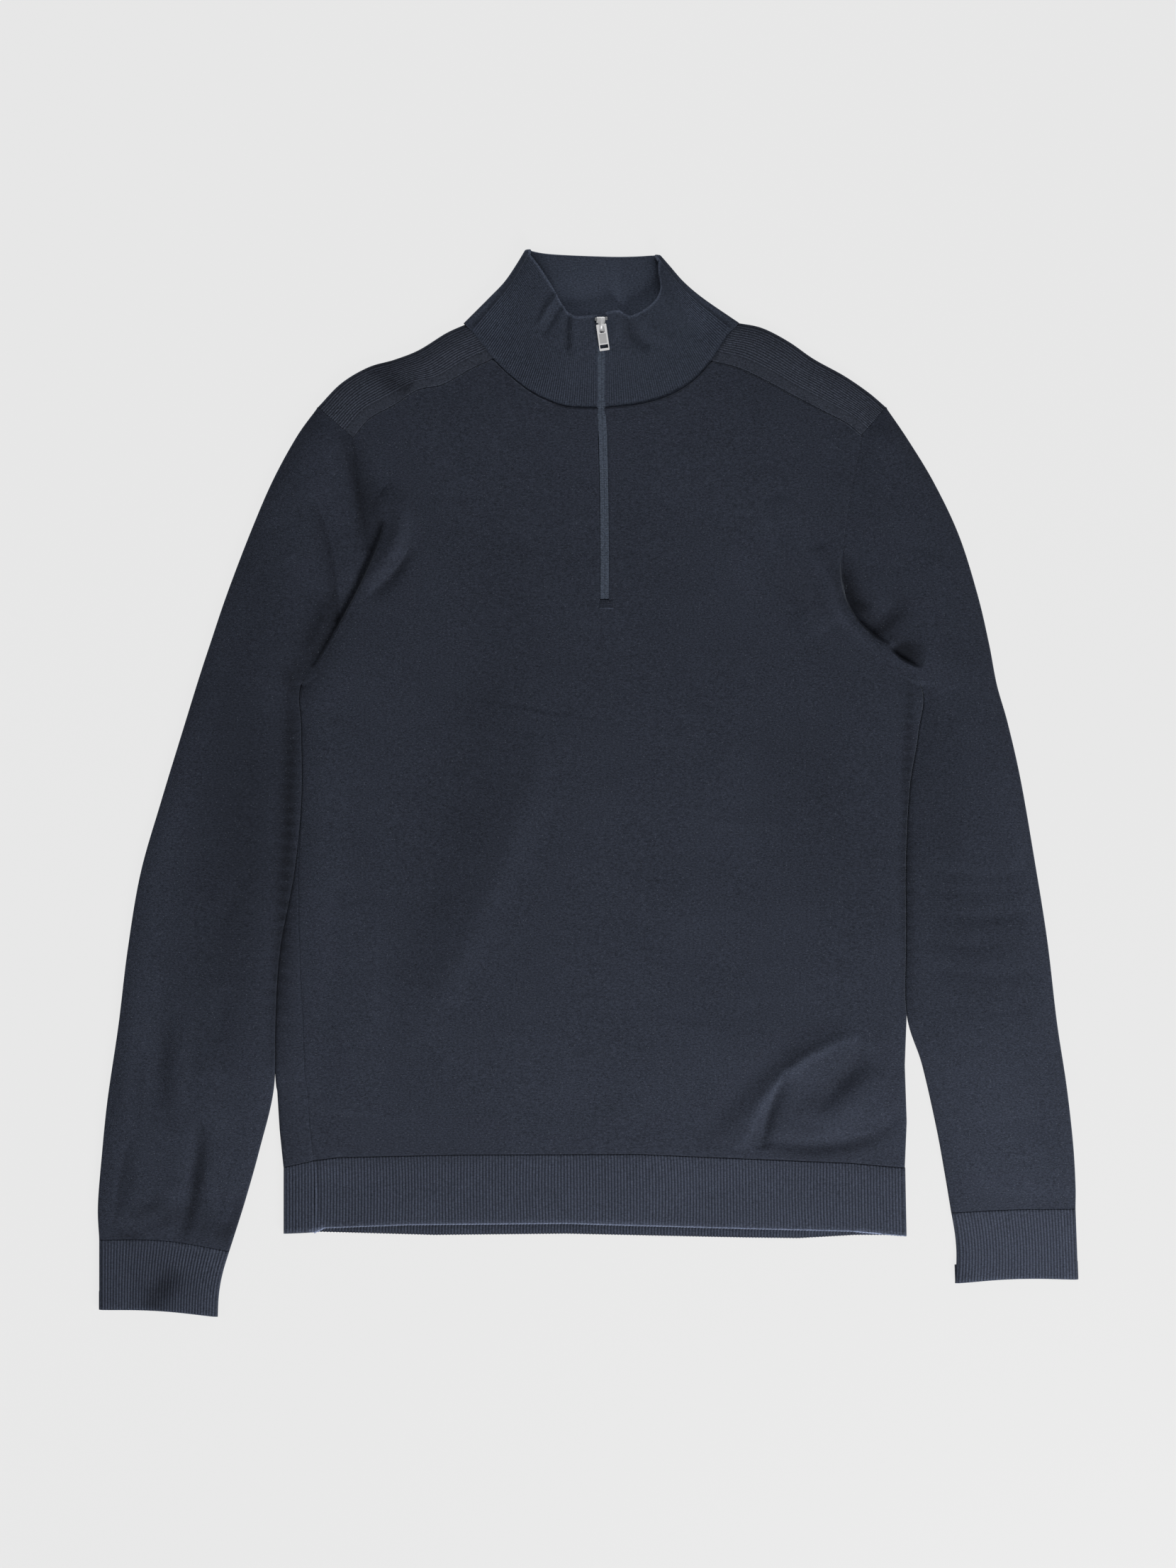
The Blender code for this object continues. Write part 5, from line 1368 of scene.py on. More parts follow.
def ribbed_run(length: float, pitch: float, steps: int) -> Array:
    """Arc lengths across whole ribs, steps to a rib, as many as come nearest to the length."""
    ribs = max(1, round(length / pitch))
    return np.linspace(0, ribs, ribs * steps + 1) * pitch


def band_turn(fold: float, angles: Sequence[float], low: Sequence, f: float) -> Array:
    """Points round a hem band's right fold, a share f of the way down to the edge in a table."""
    turn, _ = rim(np.array((fold + f, 0.0)), np.array((-1.0, 0.0)), np.radians(angles) * RIM, RIM)
    turn[:, 1] = band_y(low, turn[:, 0], f)
    return turn


@dataclass
class HemFront(ClothPiece):
    """The front's ribbed band, turned under at its lower edge and round the right side."""

    left: float = -212.2
    right: float = 242.6          # where the ribs end
    fold: float = 246.0           # the band's outermost line
    rib_height: float = 0.6
    steps: int = 8
    rows: int = 18
    scallop: float = 0.35         # the ribs' reach over the lower edge
    turn_angles: tuple[float, ...] = (78, 60, 42, 22, 4)
    under: tuple[tuple[float, float], ...] = ((0.1, -0.35), (0.35, -0.75), (0.9, -1.0), (1.4, -0.7),
                                              (1.6, 0.4), (1.6, 9.0))      # (drop, way back up)
    light: tuple[float, ...] = (0.4, 2.4, 2.8, 1.5)      # painted highlight where the turned edge catches light

    def cut(self) -> Cut:
        """How the band is cut and lies."""
        return Cut("hem_front_rib", "hem_front", "rib_knit", (470.0, 66.0), ("hem_back_rib",))

    def grid(self) -> Grid:
        """The band's grid, from its seam over the lower edge to its inside."""
        run = ribbed_run(self.right - self.left, BAND_RIB, self.steps)
        share = run / run[-1]
        x0 = mix(self.left, self.right, share)
        crest = rib_wave(run, BAND_RIB)
        sway = 0.5 * np.sin(x0 / 37) + 0.25 * np.sin(x0 / 11 + 2)
        lines = []
        for f in np.linspace(0, 1, self.rows):
            x = x0 + f * share + sway * math.sin(math.pi * f)
            xy = np.column_stack([x, band_y(HEM_FRONT, x, f)])
            air = lifted(xy, self.fold - x - RIM) * mix(1.0, 0.8, f)
            pulled = min(1.0, f * SEAM_PULL) * min(1.0, (1 - f) * 12 + 0.35)
            top = over(xy, 2 * RIM + air + self.rib_height * (crest - RIB_LEVEL) * pulled)
            lines.append(np.vstack([top, band_turn(self.fold, self.turn_angles, HEM_FRONT, f)]))
        plain = len(self.turn_angles)
        scallop = np.concatenate([self.scallop * crest, np.full(plain, 0.2)])[:, None] \
            * np.array((0.0, 1.0, 0.0))
        edge = lines[-1]
        lines += [edge + np.array((0.0, back, -drop)) - scallop for drop, back in self.under]
        tone = np.tile(np.concatenate([crest, np.full(plain, 0.5)]), (len(lines), 1))
        lit = slice(self.rows - 1, self.rows - 1 + len(self.light))
        tone[lit] += np.array(self.light)[:, None]
        # painted shade on the rows turned under the edge
        tone[lit.stop:] = 0.1
        return Grid.of(np.stack(lines), tone).rolled(0, False, dark=GROOVE_DARK)


@dataclass
class HemBack(ClothPiece):
    """The back's ribbed band: its lap over the left side, its flat underside, and its inside."""

    left: float = -236.0
    right: float = 245.5
    lap: float = 25.0             # from the left fold to the side seam
    rib_height: float = 0.7
    steps: int = 6
    rows: int = 14
    under_columns: int = 60
    turn_angles: tuple[float, ...] = (-70.0, -45.0, -20.0, -2.0)
    hem_turn: float = 1.4         # the edge turns in by this
    inside_from: float = -213.0
    inside_to: float = 243.0
    inside_deep: float = 24.0
    inside_shares: tuple[float, ...] = (0.0, 0.3, 0.55, 0.75, 0.9, 0.97, 1.0)

    def cut(self) -> Cut:
        """How the band is cut and lies."""
        return Cut("hem_back_rib", "hem_back", "rib_knit", (560.0, 66.0), ("floor",))

    def grid(self) -> Grid:
        """Lap and underside, side seam to right fold."""
        run = ribbed_run(self.lap + QUARTER, BAND_RIB, self.steps)
        along = run[::-1] - QUARTER
        crest = rib_wave(run, BAND_RIB)[::-1]
        on_top = np.clip((along - 1.0) / 4.0, 0, 1)
        x = np.linspace(self.left + RIM, self.right - RIM, self.under_columns)
        lines = []
        for f in np.linspace(0, 1, self.rows):
            p, n = side_turn(np.array((self.left, 0.0)), np.array((1.0, 0.0)), along,
                             mix(1.0, 0.75, f))
            ribs = self.rib_height * (crest - 0.5) * on_top * min(1.0, f * SEAM_PULL)
            p = p + n * ribs[:, None]
            p[:, 1] = band_y(HEM_BACK, p[:, 0], f)
            under = over(np.column_stack([x, band_y(HEM_BACK, x, f)]), 0.0)
            turn = band_turn(self.right, self.turn_angles, HEM_BACK, f)
            lines.append(np.vstack([p, under, turn]))
        tone = np.append(crest, np.full(len(x) + len(self.turn_angles), PLAIN))
        low = lines[-1].copy()
        low[:, 1] += 0.3
        low[:, 2] += np.where(low[:, 2] > RIM, -self.hem_turn, self.hem_turn)
        points = np.stack(lines + [low])
        return Grid.of(points, np.tile(tone, (len(points), 1))).rolled(0, False, dark=GROOVE_DARK)

    def inside(self) -> Grid:
        """The strip of its ribbed inside that shows below the front's edge."""
        run = ribbed_run(self.inside_to - self.inside_from, BAND_RIB, self.steps)
        x = mix(self.inside_from, self.inside_to, run / run[-1])
        crest = rib_wave(run, BAND_RIB)
        low = look_up(HEM_BACK, x)
        lines = []
        for f in self.inside_shares:
            y = mix(low + self.inside_deep, low, f) - 0.5 * crest * f ** 8
            sunk = (self.hem_turn * max(0.0, f - 0.9) / 0.1) * 0.9
            z = np.maximum(WALL + self.rib_height * crest - sunk, 0.05)
            lines.append(np.column_stack([x, y, z]))
        return Grid.of(np.stack(lines), np.tile(crest * 0.8, (len(lines), 1)))

    def shape(self) -> bpy.types.Object:
        """Outside and inside as one object."""
        obj, inner = super().shape(), cloth_mesh("hem_back_inside", self.inside())
        bpy.ops.object.select_all(action="DESELECT")
        inner.select_set(True)
        obj.select_set(True)
        bpy.context.view_layer.objects.active = obj
        bpy.ops.object.join()
        return obj


@dataclass
class Cuff(ClothPiece):
    """A ribbed cuff: a flat tube, turned in at its open end."""

    side: Side
    rib_height: float = 0.6
    steps: int = 8
    rows: int = 20
    end_bow: float = 2.0
    narrowed: float = 2.4
    under_columns: int = 9
    inner_angles: tuple[float, ...] = (60, 30, 0, -30, -60)
    # the crest values paint a highlight on the turned lip and shade going into the opening
    open_end: tuple[tuple[float, float, float], ...] = (
        (0.45, 0.35, 1.2), (0.5, 0.9, 1.0), (-0.3, 1.35, 0.4), (-2.0, 1.5, 0.1),
        (-14.0, 1.5, 0.0))        # (outwards, into the wall, crest value)
    seam_roll: tuple[tuple[float, float], ...] = ((0.0, 0.7), (0.0, 0.5), (0.3, 0.2), (0.9, 0.0))

    def cut(self) -> Cut:
        """How the cuff is cut and lies."""
        return Cut(f"cuff_{self.side.word}_rib", f"cuff_{self.side.word}", "rib_knit",
                   (205.0, 68.0), ("floor",), Held.FOLDED)

    def ring(self, f: float, run: Array) -> tuple[Array, Array]:
        """Points and crests of one ring, f = 0 at the seam to 1 at the open end."""
        start, end = np.array(SLEEVES[self.side][-1]), np.array(CUFF_ENDS[self.side])
        a = mix(start, end, f)
        a[2] -= self.narrowed * math.sin(math.pi * f) * -self.side.value
        outer, inner = a[:2], a[2:]
        inward = unit(inner - outer)
        share = run / run[-1]
        bow = CUFF_BOW[self.side] * (1 - f)
        end_bow = self.end_bow * f ** 3
        crest = rib_wave(run, BAND_RIB)
        near, far = outer + inward * RIM, inner - inward * RIM
        xy = near + np.outer(share, far - near)
        xy[:, 1] += bow * np.sin(math.pi * share)
        air = lifted(xy, np.minimum(share, 1 - share) * float(np.linalg.norm(far - near)))
        ribs = self.rib_height * (crest - RIB_LEVEL) * min(1.0, f * SEAM_PULL)
        xy = xy + np.outer(end_bow * np.sin(math.pi * share), (0.0, 1.0))
        back = np.linspace(1, 0, self.under_columns)
        under = mix(near[None], far[None], back[:, None])
        under[:, 1] += (bow + end_bow) * np.sin(math.pi * back)
        turns = [rim(edge, way, np.radians(angles) * RIM, RIM)[0]
                 for edge, way, angles in ((inner, -inward, self.inner_angles),
                                           (outer, inward, self.inner_angles[::-1]))]
        points = np.vstack([over(xy, 2 * RIM + air + ribs), turns[0], over(under, 0.0), turns[1]])
        tone = np.append(crest, np.full(len(points) - len(crest), PLAIN))
        return np.vstack([points, points[:1]]), np.append(tone, tone[0])

    def grid(self) -> Grid:
        """The cuff's grid: rings from the seam to the open end, and its turned-in wall."""
        start, end = np.array(SLEEVES[self.side][-1]), np.array(CUFF_ENDS[self.side])
        run = ribbed_run(math.dist(start[:2], start[2:]) - 2 * RIM, BAND_RIB, self.steps)
        rings = [self.ring(f, run) for f in np.linspace(0, 1, self.rows)]
        points = [r[0] for r in rings]
        tone = [r[1] for r in rings]
        way = np.append(unit(end[:2] - start[:2]), 0.0)
        last = points[-1]
        toward = np.where(last[:, 2:] > RIM, -1.0, 1.0) * np.array((0.0, 0.0, 1.0))
        for out, deep, shade in self.open_end:
            points.append(last + way * out + toward * deep)
            tone.append(np.full(len(last), shade))
        grid = Grid.of(np.stack(points), np.stack(tone))
        return grid.rolled(0, False, self.seam_roll, dark=GROOVE_DARK)


@dataclass
class Yoke(ClothPiece):
    """A forward shoulder yoke: ribs along the shoulder, a plain band below them."""

    side: Side
    rib_height: float = 0.42
    steps: int = 8
    rows: int = 60
    plain_columns: int = 8
    wander: float = 0.35
    under_shares: tuple[float, ...] = (0.0, 0.5, 1.0)
    turn_angles: tuple[float, ...] = (-60, -30, 0, 30, 60)
    end_roll: tuple[tuple[float, float], ...] = ((-1.2, 1.8), (-0.1, 0.8), (0.35, 0.2), (1.0, 0.0))

    def cut(self) -> Cut:
        """How the yoke is cut and lies."""
        return Cut(f"yoke_{self.side.word}_rib", f"yoke_{self.side.word}", "rib_knit",
                   (54.0, 150.0), ("back_cloth",), Held.FOLDED)

    def grid(self) -> Grid:
        """The yoke's grid, from its edge underneath over the shoulder fold to the front seam."""
        t = np.linspace(0, 6, self.rows)
        rows = smooth(YOKES[self.side], t)
        fold, seam = rows[:, :2], rows[:, 2:]
        inward = unit(seam - fold)
        deep = np.linalg.norm(seam - fold, axis=1)
        ribs = round(float(np.median(deep)) * YOKE_RIB_SHARE / FINE_RIB)
        lap = mix(*lap_line(self.side), (t / 6)[:, None])
        columns = [over(mix(lap, fold + inward * RIM, f), 0.0) for f in self.under_shares]
        columns += [turned(fold, inward, angle) for angle in self.turn_angles]
        tones = [PLAIN] * len(columns)
        along = run_along(fold)
        shares = np.concatenate([np.linspace(0, YOKE_RIB_SHARE, ribs * self.steps + 1),
                                 np.linspace(YOKE_RIB_SHARE, 1, self.plain_columns)[1:]])
        for share in shares:
            part = min(1, share / YOKE_RIB_SHARE)
            wander = self.wander * np.sin(along / 9 + share * 5) * math.sin(math.pi * part)
            inset = RIM + (deep - RIM) * share + wander
            xy = fold + inward * inset[:, None]
            crest, raised = 0.5, 0.0
            if share <= YOKE_RIB_SHARE:
                crest = float(rib_wave(np.array(share * ribs / YOKE_RIB_SHARE), 1.0))
                raised = self.rib_height * (crest - RIB_LEVEL)
            columns.append(over(xy, 2 * RIM + lifted(xy, inset - RIM) + raised))
            tones.append(crest)
        grid = Grid.of(np.stack(columns, axis=1), np.tile(tones, (len(t), 1)))
        return grid.rolled(0, False, self.end_roll).rolled(0, True, self.end_roll).rolled(1, True)


@dataclass
class Collar(ClothPiece):
    """The funnel collar: a doubled band, ribbed outside, rolled over at its free edge."""

    rib_height: float = 0.6
    steps: int = 6
    rows: int = 42
    run: float = 122.0            # from the zip to the side, along the neck
    side_room: float = 6.5        # the last of it is without ribs
    margin: float = 0.16
    back_columns: int = 36
    turn_angles: tuple[float, ...] = (66, 44, 22, 0, -22, -44, -66)
    bead_angles: tuple[float, ...] = (25, 50, 75, 100, 125, 150)
    seam_share: tuple[float, float] = (0.571, 0.709)     # along the neck, and along the top
    inside_tones: tuple[float, float] = (0.72, 0.58)      # left and right of the back's seam
    edge_light: tuple[float, float] = (2.0, 2.4)          # painted highlights on the free edge, and on its bead
    bead_reach: float = 0.8       # how far the bead stands out, as a share of its radius
    light_from: float = 406.0     # painted light on the inside grows below this y, against the front's shadow
    light_over: float = 38.0      # and is full this far down
    side_from: float = 0.55       # towards the side, ribs show at the top too
    side_ribs: float = 0.55       # by this much
    neck_roll: tuple[tuple[float, float], ...] = ((0.0, 1.2), (0.0, 0.5), (0.25, 0.1), (0.7, 0.0))

    @property
    def levels(self) -> Array:
        """Shares of the height at the rows."""
        return np.linspace(0, 1, self.rows)

    def cut(self) -> Cut:
        """How the collar is cut and lies."""
        return Cut("collar_rib", "collar", "rib_knit", (470.0, 150.0), ("back_cloth",), Held.FOLDED)

    def front(self, side: Side, shares: Array) -> Array:
        """Plan points of one front: rows of heights, columns from the zip to the side."""
        neck = even(NECK[side], np.linspace(0, 1, 60))
        line = np.vstack([neck, YOKES[side][0][:2]])
        run = run_along(line)
        low = np.column_stack([np.interp(shares * run[-1], run, line[:, k]) for k in (0, 1)])
        edge = even(COLLAR_SIDE[side], self.levels)
        h = self.levels[:, None, None]
        bend = edge[:, None] - mix(edge[0], edge[-1], h)
        return mix(low, even(COLLAR_TOP[side], shares), h) + shares[None, :, None] ** 3 * bend

    def heights(self, plan: Array, shares: Array) -> Array:
        """Heights of a front's outer face, before ribs."""
        h = self.levels[:, None]
        off_side = np.clip((1 - shares[None, :]) / self.margin, 0, 1)
        rise = mix(COLLAR_LOW, COLLAR_HIGH, np.sin(h * math.pi / 2)) + COLLAR_RELIEF.height(plan)
        return 2 * COLLAR_RIM + rise * off_side * (2 - off_side)

    def one_side(self, side: Side) -> tuple[Array, Array]:
        """Points and crests of one front and its turn, from the zip to the back."""
        run = ribbed_run(self.run, FINE_RIB, self.steps)
        shares = run / run[-1] * (1 - self.side_room / self.run)
        plan = self.front(side, np.append(shares, 1.0))
        edge = even(COLLAR_SIDE[side], self.levels)
        ahead = np.gradient(edge, axis=0)
        inward = -side.value * unit(np.column_stack([ahead[:, 1], -ahead[:, 0]]))
        level = (self.levels ** 5)[:, None]
        inward = unit(mix(inward, np.array((-side.value * 1.0, 0.0)), level))
        plan[:, -1] = edge + inward * COLLAR_RIM
        z = self.heights(plan, np.append(shares, 1.0))
        h = self.levels[:, None]
        crest = rib_wave(run, FINE_RIB)[None, :]
        clear = np.clip(1.15 - 0.9 * h, 0.15, 1.0) * np.clip(h * 14, 0.0, 1.0)
        near_side = np.clip((shares[None, :] - self.side_from) / 0.3, 0, 1) * self.side_ribs
        clear = np.clip(clear + near_side * h, 0.0, 1.0)
        z[:, :-1] += self.rib_height * (crest - RIB_LEVEL) * clear
        top = np.concatenate([plan, z[..., None]], axis=2)
        turn = [turned(edge, inward, angle, COLLAR_RIM) for angle in self.turn_angles]
        turn.append(over(edge + inward * COLLAR_RIM, 0.0))
        points = np.concatenate([top, np.stack(turn, axis=1)], axis=1)
        plain = np.full((len(h), 1 + len(turn)), PLAIN)
        return points, np.concatenate([PLAIN + (crest - PLAIN) * clear, plain], axis=1)

    def back_shares(self) -> Array:
        """Where the back's columns stand, closer together at its seam."""
        near = np.array((-0.004, 0.0, 0.004)) + self.seam_share[0]
        return np.sort(np.append(np.linspace(0, 1, self.back_columns), near))

    def back(self) -> Array:
        """Outer points of the back, flat on the surface."""
        shares = self.back_shares()
        low = back_neck(shares)
        high = even(COLLAR_BACK_TOP, np.interp(shares, (0.0, self.seam_share[0], 1.0),
                                               (0.05, self.seam_share[1], 0.95)))
        h = self.levels[:, None, None]
        plan = mix(low, high, h)
        for side, weight in ((Side.LEFT, (1 - shares) ** 3), (Side.RIGHT, shares ** 3)):
            fold = even(COLLAR_SIDE[side], self.levels)[:, None]
            plan = plan + weight[:, None] * (fold - mix(fold[0], fold[-1], h))
        return over(plan, 0.0)

    def grid(self) -> Grid:
        """The collar's grid: outer face, bead and inner face, from zip edge to zip edge."""
        left, left_tone = self.one_side(Side.LEFT)
        right, right_tone = self.one_side(Side.RIGHT)
        back = self.back()
        outer = np.concatenate([left, back, right[:, ::-1]], axis=1)
        back_tone = np.full(back.shape[:2], PLAIN)
        tone = np.concatenate([left_tone, back_tone, right_tone[:, ::-1]], axis=1)
        du = unit(np.gradient(outer, axis=1))
        dv = unit(np.gradient(outer, axis=0))
        normal = unit(np.cross(dv, du))
        flip = np.sign(normal[:, : left.shape[1] // 2, 2].mean())
        normal = normal * flip
        for _ in range(3):
            normal = unit(normal + np.roll(normal, 1, axis=1) + np.roll(normal, -1, axis=1))
        inner = outer - COLLAR_WALL * normal
        way = unit(outer[-1] - outer[-2])
        half = COLLAR_WALL / 2
        out, ahead = normal[-1], self.bead_reach * way
        bead = [outer[-1] - half * out + half * (out * math.cos(a) + ahead * math.sin(a))
                for a in np.radians(self.bead_angles)]
        points = np.concatenate([outer, np.stack(bead), inner[::-1]])
        below = np.clip((self.light_from - inner[::-1, :, 1]) / self.light_over, 0, 1)
        column = np.arange(outer.shape[1]) - left.shape[1]
        seam_column = int(np.argmin(np.abs(self.back_shares() - self.seam_share[0])))
        plain = np.where(column >= seam_column, *self.inside_tones[::-1])[None, :]
        # painted light on the inside's lower part, lifting the shadow of the collar's front
        plain = plain + 0.3 * below + 1.2 * below ** 3
        # painted highlights on the free edge and its bead
        tone[-1], bead_light = self.edge_light
        tone = np.concatenate([tone, np.full((len(bead), tone.shape[1]), bead_light), plain])
        return Grid.of(points, tone).rolled(0, False, self.neck_roll, dark=GROOVE_DARK / 2)


# ---------------------------------------------------------------- zip

NECK_BLEND = 12.0            # panel and collar blend over this length of the zip


def face_height(y: Array) -> Array:
    """Height of the outer face beside the zip at heights y: the panel's, then the collar's."""
    y = np.asarray(y, float)
    xy = np.column_stack([zip_x(y), y])
    panel = 2 * RIM + lifted(xy, np.full(len(y), LOFT_REACH))
    up = np.clip((y - ZIP_NECK_Y) / (ZIP_TOP_Y - ZIP_NECK_Y), 0, 1)
    stand = 2 * COLLAR_RIM + mix(COLLAR_LOW, COLLAR_HIGH, np.sin(up * math.pi / 2))
    return mix(panel, stand, np.clip((y - ZIP_NECK_Y) / NECK_BLEND + 0.5, 0, 1))


@dataclass
class ZipTape(ClothPiece):
    """One half of the woven tape, with fine cross ribs; its offsets are from the zip's line."""

    side: Side
    sunk: float = 0.3
    step: float = 0.45
    rib_height: float = 0.12
    offsets: tuple[float, ...] = (0.0, 0.25, 0.6, 1.2, 1.8, 2.4, 2.9, 3.15, 3.35)
    depths: tuple[float, ...] = (0.2, 0.06, 0.0, 0.0, 0.0, 0.0, 0.0, 0.05, 0.5)

    def cut(self) -> Cut:
        """How the tape is cut and lies."""
        return Cut(f"zip_tape_{self.side.word}_weave", f"zip_tape_{self.side.word}", "zip_tape",
                   (10.0, 218.0), ("front_cloth",), area=740.0)

    def grid(self) -> Grid:
        """The tape's grid, from the closing line outwards."""
        y = np.arange(ZIP_END_Y + SEAM_GAP, ZIP_TOP_Y, self.step)[:, None]
        wave = 0.5 - 0.5 * np.cos(2 * math.pi * (y - ZIP_END_Y) / (self.step * 4))
        dome = np.array(self.depths)
        x = zip_x(y) + self.side.value * np.array(self.offsets)
        z = face_height(y[:, 0])[:, None] - self.sunk - dome + self.rib_height * wave * (dome < 0.2)
        tone = np.broadcast_to(0.55 + 0.2 * wave, x.shape).copy()
        # painted shade along the closing line, where the two tapes meet
        tone[:, 0] = 0.1
        return Grid.of(np.stack([x, np.broadcast_to(y, x.shape), z], axis=-1), tone)


def block(name: str, place: Sequence[float], size: Sequence[float], bevel: float,
          steps: int = 3) -> bpy.types.Object:
    """A box with rounded edges, modelled at its size and place.

    Args:
        name: the piece's name.
        place: its middle, in mm.
        size: its sides, in mm.
        bevel: radius of its edges, in mm.
        steps: segments of each rounded edge.

    Returns:
        The object, its place in its mesh.
    """
    bpy.ops.object.select_all(action="DESELECT")
    bpy.ops.mesh.primitive_cube_add(size=1.0, location=(0.0, 0.0, 0.0))
    obj = bpy.context.object
    obj.name = obj.data.name = name
    with editing():
        bpy.ops.transform.resize(value=[s * MM for s in size], center_override=(0.0, 0.0, 0.0))
        bpy.ops.transform.translate(value=[p * MM for p in place])
        bpy.ops.mesh.bevel(offset=bevel * MM, segments=steps, affect="EDGES")
    bpy.ops.object.shade_smooth()
    return obj


@dataclass
class EndTack:
    """The soft stitched box that closes the slit's lower end."""

    middle: tuple[float, float] = (14.3, 138.6)
    size: tuple[float, float, float] = (10.8, 6.6, 1.2)
    bevel: float = 0.5
    sunk: float = 0.25
    stitch: float = 1.3
    cuts: int = 9
    side_shade: float = -0.3
    low_light: float = 1.7        # painted highlight where its lower end catches light
    low_from: float = 0.38        # from here, as a share of its length off its middle

    def build(self, finish: bpy.types.Material) -> bpy.types.Object:
        height = float(face_height([self.middle[1]])[0]) - self.sunk
        obj = block("end_tack_stitched", (*self.middle, height), self.size, self.bevel)
        with editing():
            bpy.ops.mesh.subdivide(number_cuts=self.cuts)
            bpy.ops.uv.cube_project(cube_size=1.0)
        mesh = obj.data
        mesh.uv_layers.active.name = "weave"
        place = np.array([v.co[:] for v in mesh.vertices]) / MM
        down = (self.middle[1] - place[:, 1]) / self.size[1]
        stitches = 0.3 + 0.5 * np.cos(2 * math.pi * place[:, 1] / self.stitch)
        # painted shade on the tack's sides, below its top face
        shade = np.where(place[:, 2] > height + 0.3 * self.size[2], stitches, self.side_shade)
        shade = np.where(down > self.low_from, self.low_light, shade)
        add_value(mesh, "crest", shade)
        add_value(mesh, "nap", np.ones(len(down)))
        mesh.materials.append(finish)
        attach(obj, BODY)
        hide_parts("zip_end_tack")
        log.info("%s: %d faces", obj.name, len(mesh.polygons))
        return obj


@dataclass
class ZipTrim:
    """Top stops, slider and pull, and the slider's rounded crown."""

    bright_nodes: tuple[str, ...] = ("zip_slider",)
    dull_nodes: tuple[str, ...] = ("zip_stop_left", "zip_stop_right")
    pull_node: str = "zip_pull"
    crown_middle: tuple[float, float] = (9.9, 358.7)
    crown_size: tuple[float, float, float] = (6.6, 4.8, 1.0)
    crown_bevel: float = 0.5

    def dress(self, frame: dict, bright: bpy.types.Material, dull: bpy.types.Material,
              pressed: bpy.types.Material) -> None:
        """Give the CAD nodes their finishes and lay the crown round the slider's top.

        Args:
            bright: the finish of slider and crown.
            dull: the finish of the stops.
            pressed: the pull's finish.
        """
        for names, material in ((self.bright_nodes, bright), (self.dull_nodes, dull),
                                ((self.pull_node,), pressed)):
            for slot in (slot for name in names for slot in frame["nodes"][name].material_slots):
                slot.material = material
        height = float(face_height([self.crown_middle[1]])[0]) + self.crown_size[2] / 2
        crown_piece = block("slider_crown", (*self.crown_middle, height), self.crown_size,
                            self.crown_bevel)
        crown_piece.data.materials.append(bright)
        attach(crown_piece, BODY)
        log.info("%s: %d faces", crown_piece.name, len(crown_piece.data.polygons))


# ---------------------------------------------------------------- studio

FLOOR_DROP = 0.0002          # in metres; the studio's own sizes are in metres and watts
WHITE = (1.0, 1.0, 1.0, 1.0)


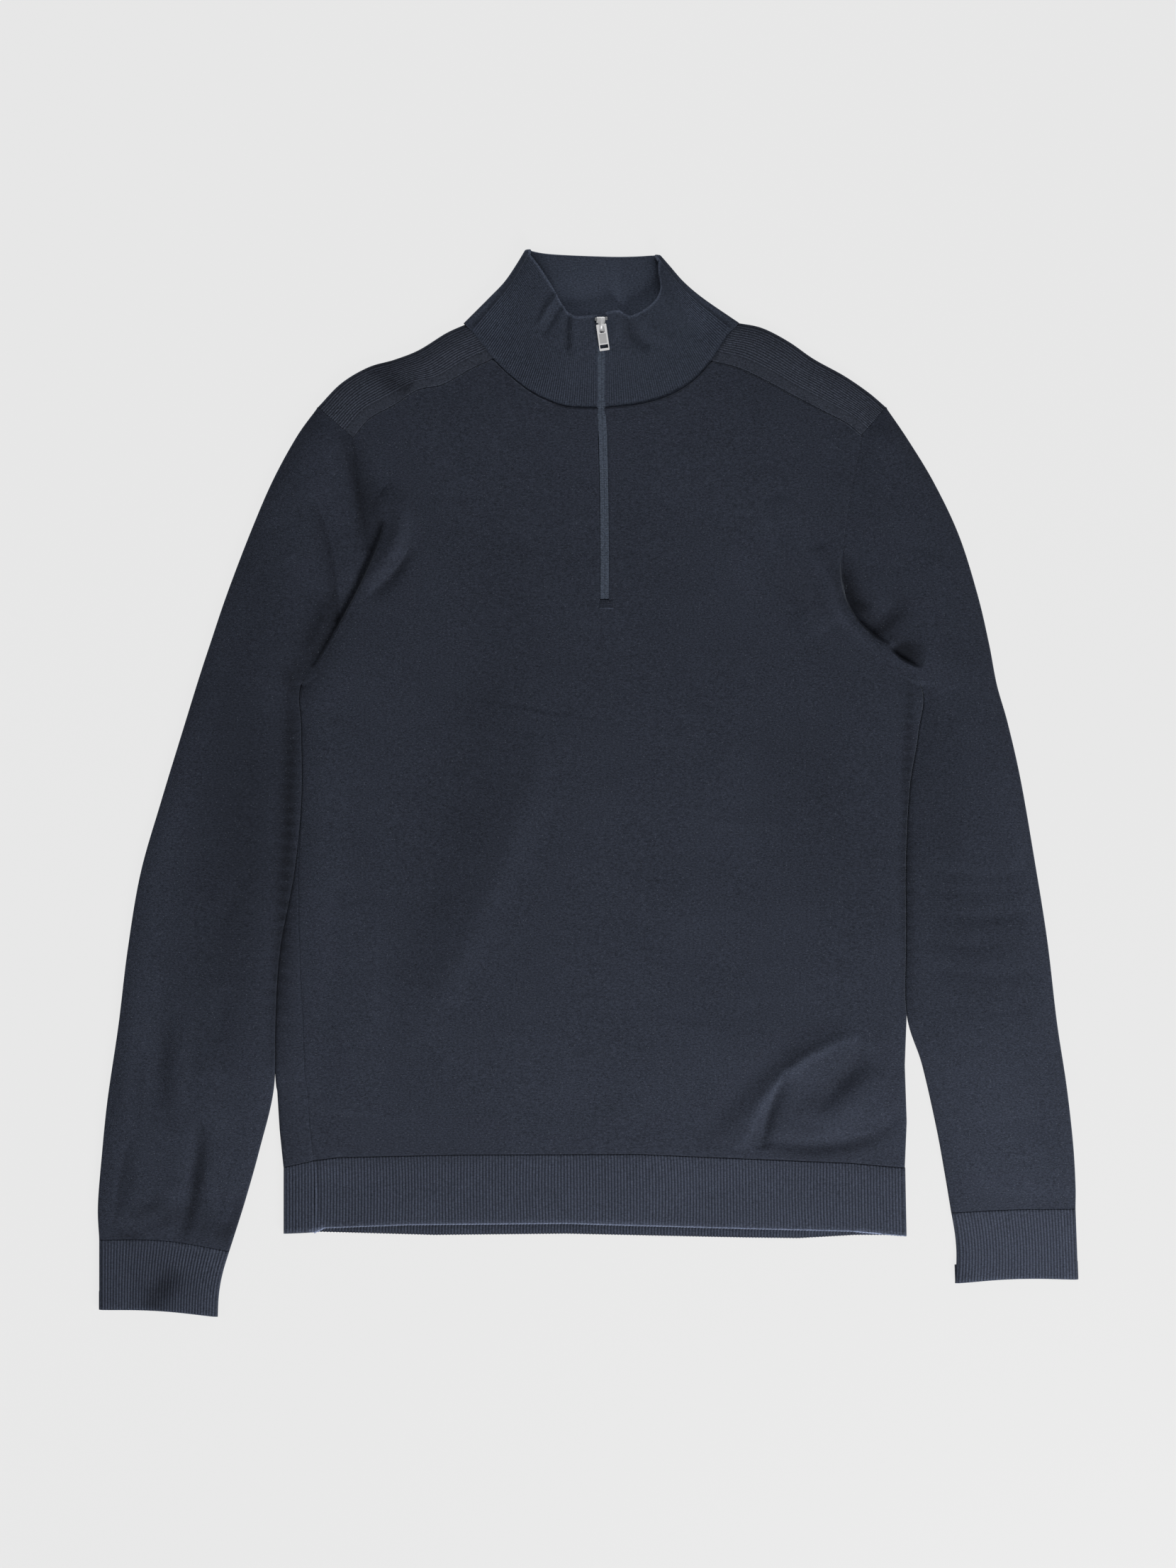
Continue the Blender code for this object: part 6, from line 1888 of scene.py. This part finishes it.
@dataclass
class Studio:
    """Plain pale floor, even light with a soft key from the lower right, camera straight above."""

    camera_height: float = 3.0
    frame_height: float = 1.2166
    floor_size: float = 14.0
    glow: float = 0.775           # the floor's own light
    sky: float = 0.10
    aim: tuple[float, float, float] = (0.05, -0.05, 0.0)
    key_power: float = 46.0
    top_power: float = 8.0
    side_power: float = 5.0

    def floor(self) -> None:
        """A pale floor that glows a little, so its tone stays even."""
        bpy.ops.object.select_all(action="DESELECT")
        bpy.ops.mesh.primitive_plane_add(size=self.floor_size, location=(0.0, 0.0, 0.0))
        plane = bpy.context.object
        plane.name = "floor"
        with editing():
            bpy.ops.transform.translate(value=(0.0, 0.0, -FLOOR_DROP))
        material, _, shader = new_material("pale_paper")
        set_inputs(shader, Base_Color=(0.03, 0.03, 0.03, 1.0), Roughness=1.0,
                   Specular_IOR_Level=0.0, Emission_Color=WHITE, Emission_Strength=self.glow)
        plane.data.materials.append(material)

    def lights(self) -> None:
        """An even sky and a large soft key."""
        world = bpy.data.worlds.new("studio")
        world.use_nodes = True
        set_inputs(world.node_tree.nodes["Background"], Color=WHITE, Strength=self.sky)
        bpy.context.scene.world = world
        for name, place, size, power in (("key", (0.7, -1.4, 0.8), 0.8, self.key_power),
                                         ("top", (0.1, 1.3, 0.8), 1.0, self.top_power),
                                         ("side", (-1.1, -0.3, 0.6), 0.9, self.side_power)):
            light = bpy.data.lights.new(name, "AREA")
            light.shape = "DISK"
            light.size = size
            light.energy = power
            obj = bpy.data.objects.new(name, light)
            bpy.context.collection.objects.link(obj)
            obj.location = place
            way = Vector(self.aim) - Vector(place)
            obj.rotation_euler = way.to_track_quat("-Z", "Y").to_euler()

    def camera(self) -> None:
        """The camera, straight down, up in the picture being +Y."""
        data = bpy.data.cameras.new("camera")
        data.sensor_width = 36.0
        data.lens = 36.0 * self.camera_height / self.frame_height
        camera = bpy.data.objects.new("camera", data)
        bpy.context.collection.objects.link(camera)
        camera.location = (0.0, 0.0, self.camera_height)
        bpy.context.scene.camera = camera

    def build(self) -> None:
        """Floor, lights and camera."""
        self.floor()
        self.lights()
        self.camera()
        view = bpy.context.scene.view_settings
        view.view_transform = "Standard"
        view.look = "None"
        log.info("studio ready")


def main() -> None:
    """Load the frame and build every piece."""
    logging.basicConfig(level=logging.INFO, format="%(name)s: %(message)s")
    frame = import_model()
    bpy.ops.object.select_all(action="DESELECT")
    Studio().build()
    groups = {"loops": loops_group(), "fuzz": fuzz_group()}
    jersey = KnitFinish("navy_jersey", (0.0225, 0.0265, 0.0385)).build(groups)
    band, neck, yoke = (
        KnitFinish(name, colour, valley=valley, heather=0.6).build(groups)
        for name, colour, valley in (("navy_rib", (0.0315, 0.0370, 0.0535), 0.5),
                                     ("navy_neck_rib", (0.0305, 0.0370, 0.0535), 0.4),
                                     ("navy_yoke_rib", (0.0320, 0.0370, 0.0510), 0.5)))
    tape = KnitFinish("zip_tape_weave", (0.0480, 0.0590, 0.0810), wale=0.0016, course=0.0012,
                      loop_shade=0.3, valley=0.2, lint=0.0).build(groups)
    bright = MetalFinish().build()
    dull = MetalFinish("dull_nickel", (0.36, 0.37, 0.38), metallic=0.7).build()
    pressed = MetalFinish("pressed_nickel", recess=PULL_RECESS).build()
    BackPanel().build(jersey)
    FrontPanel().build(jersey)
    HemBack().build(band)
    HemFront().build(band)
    for side in Side:
        Sleeve(side).build(jersey)
        Cuff(side).build(band)
        Yoke(side).build(yoke)
        ZipTape(side).build(tape)
    Collar().build(neck)
    EndTack().build(jersey)
    ZipTrim().dress(frame, bright, dull, pressed)


if __name__ == "__main__":
    main()
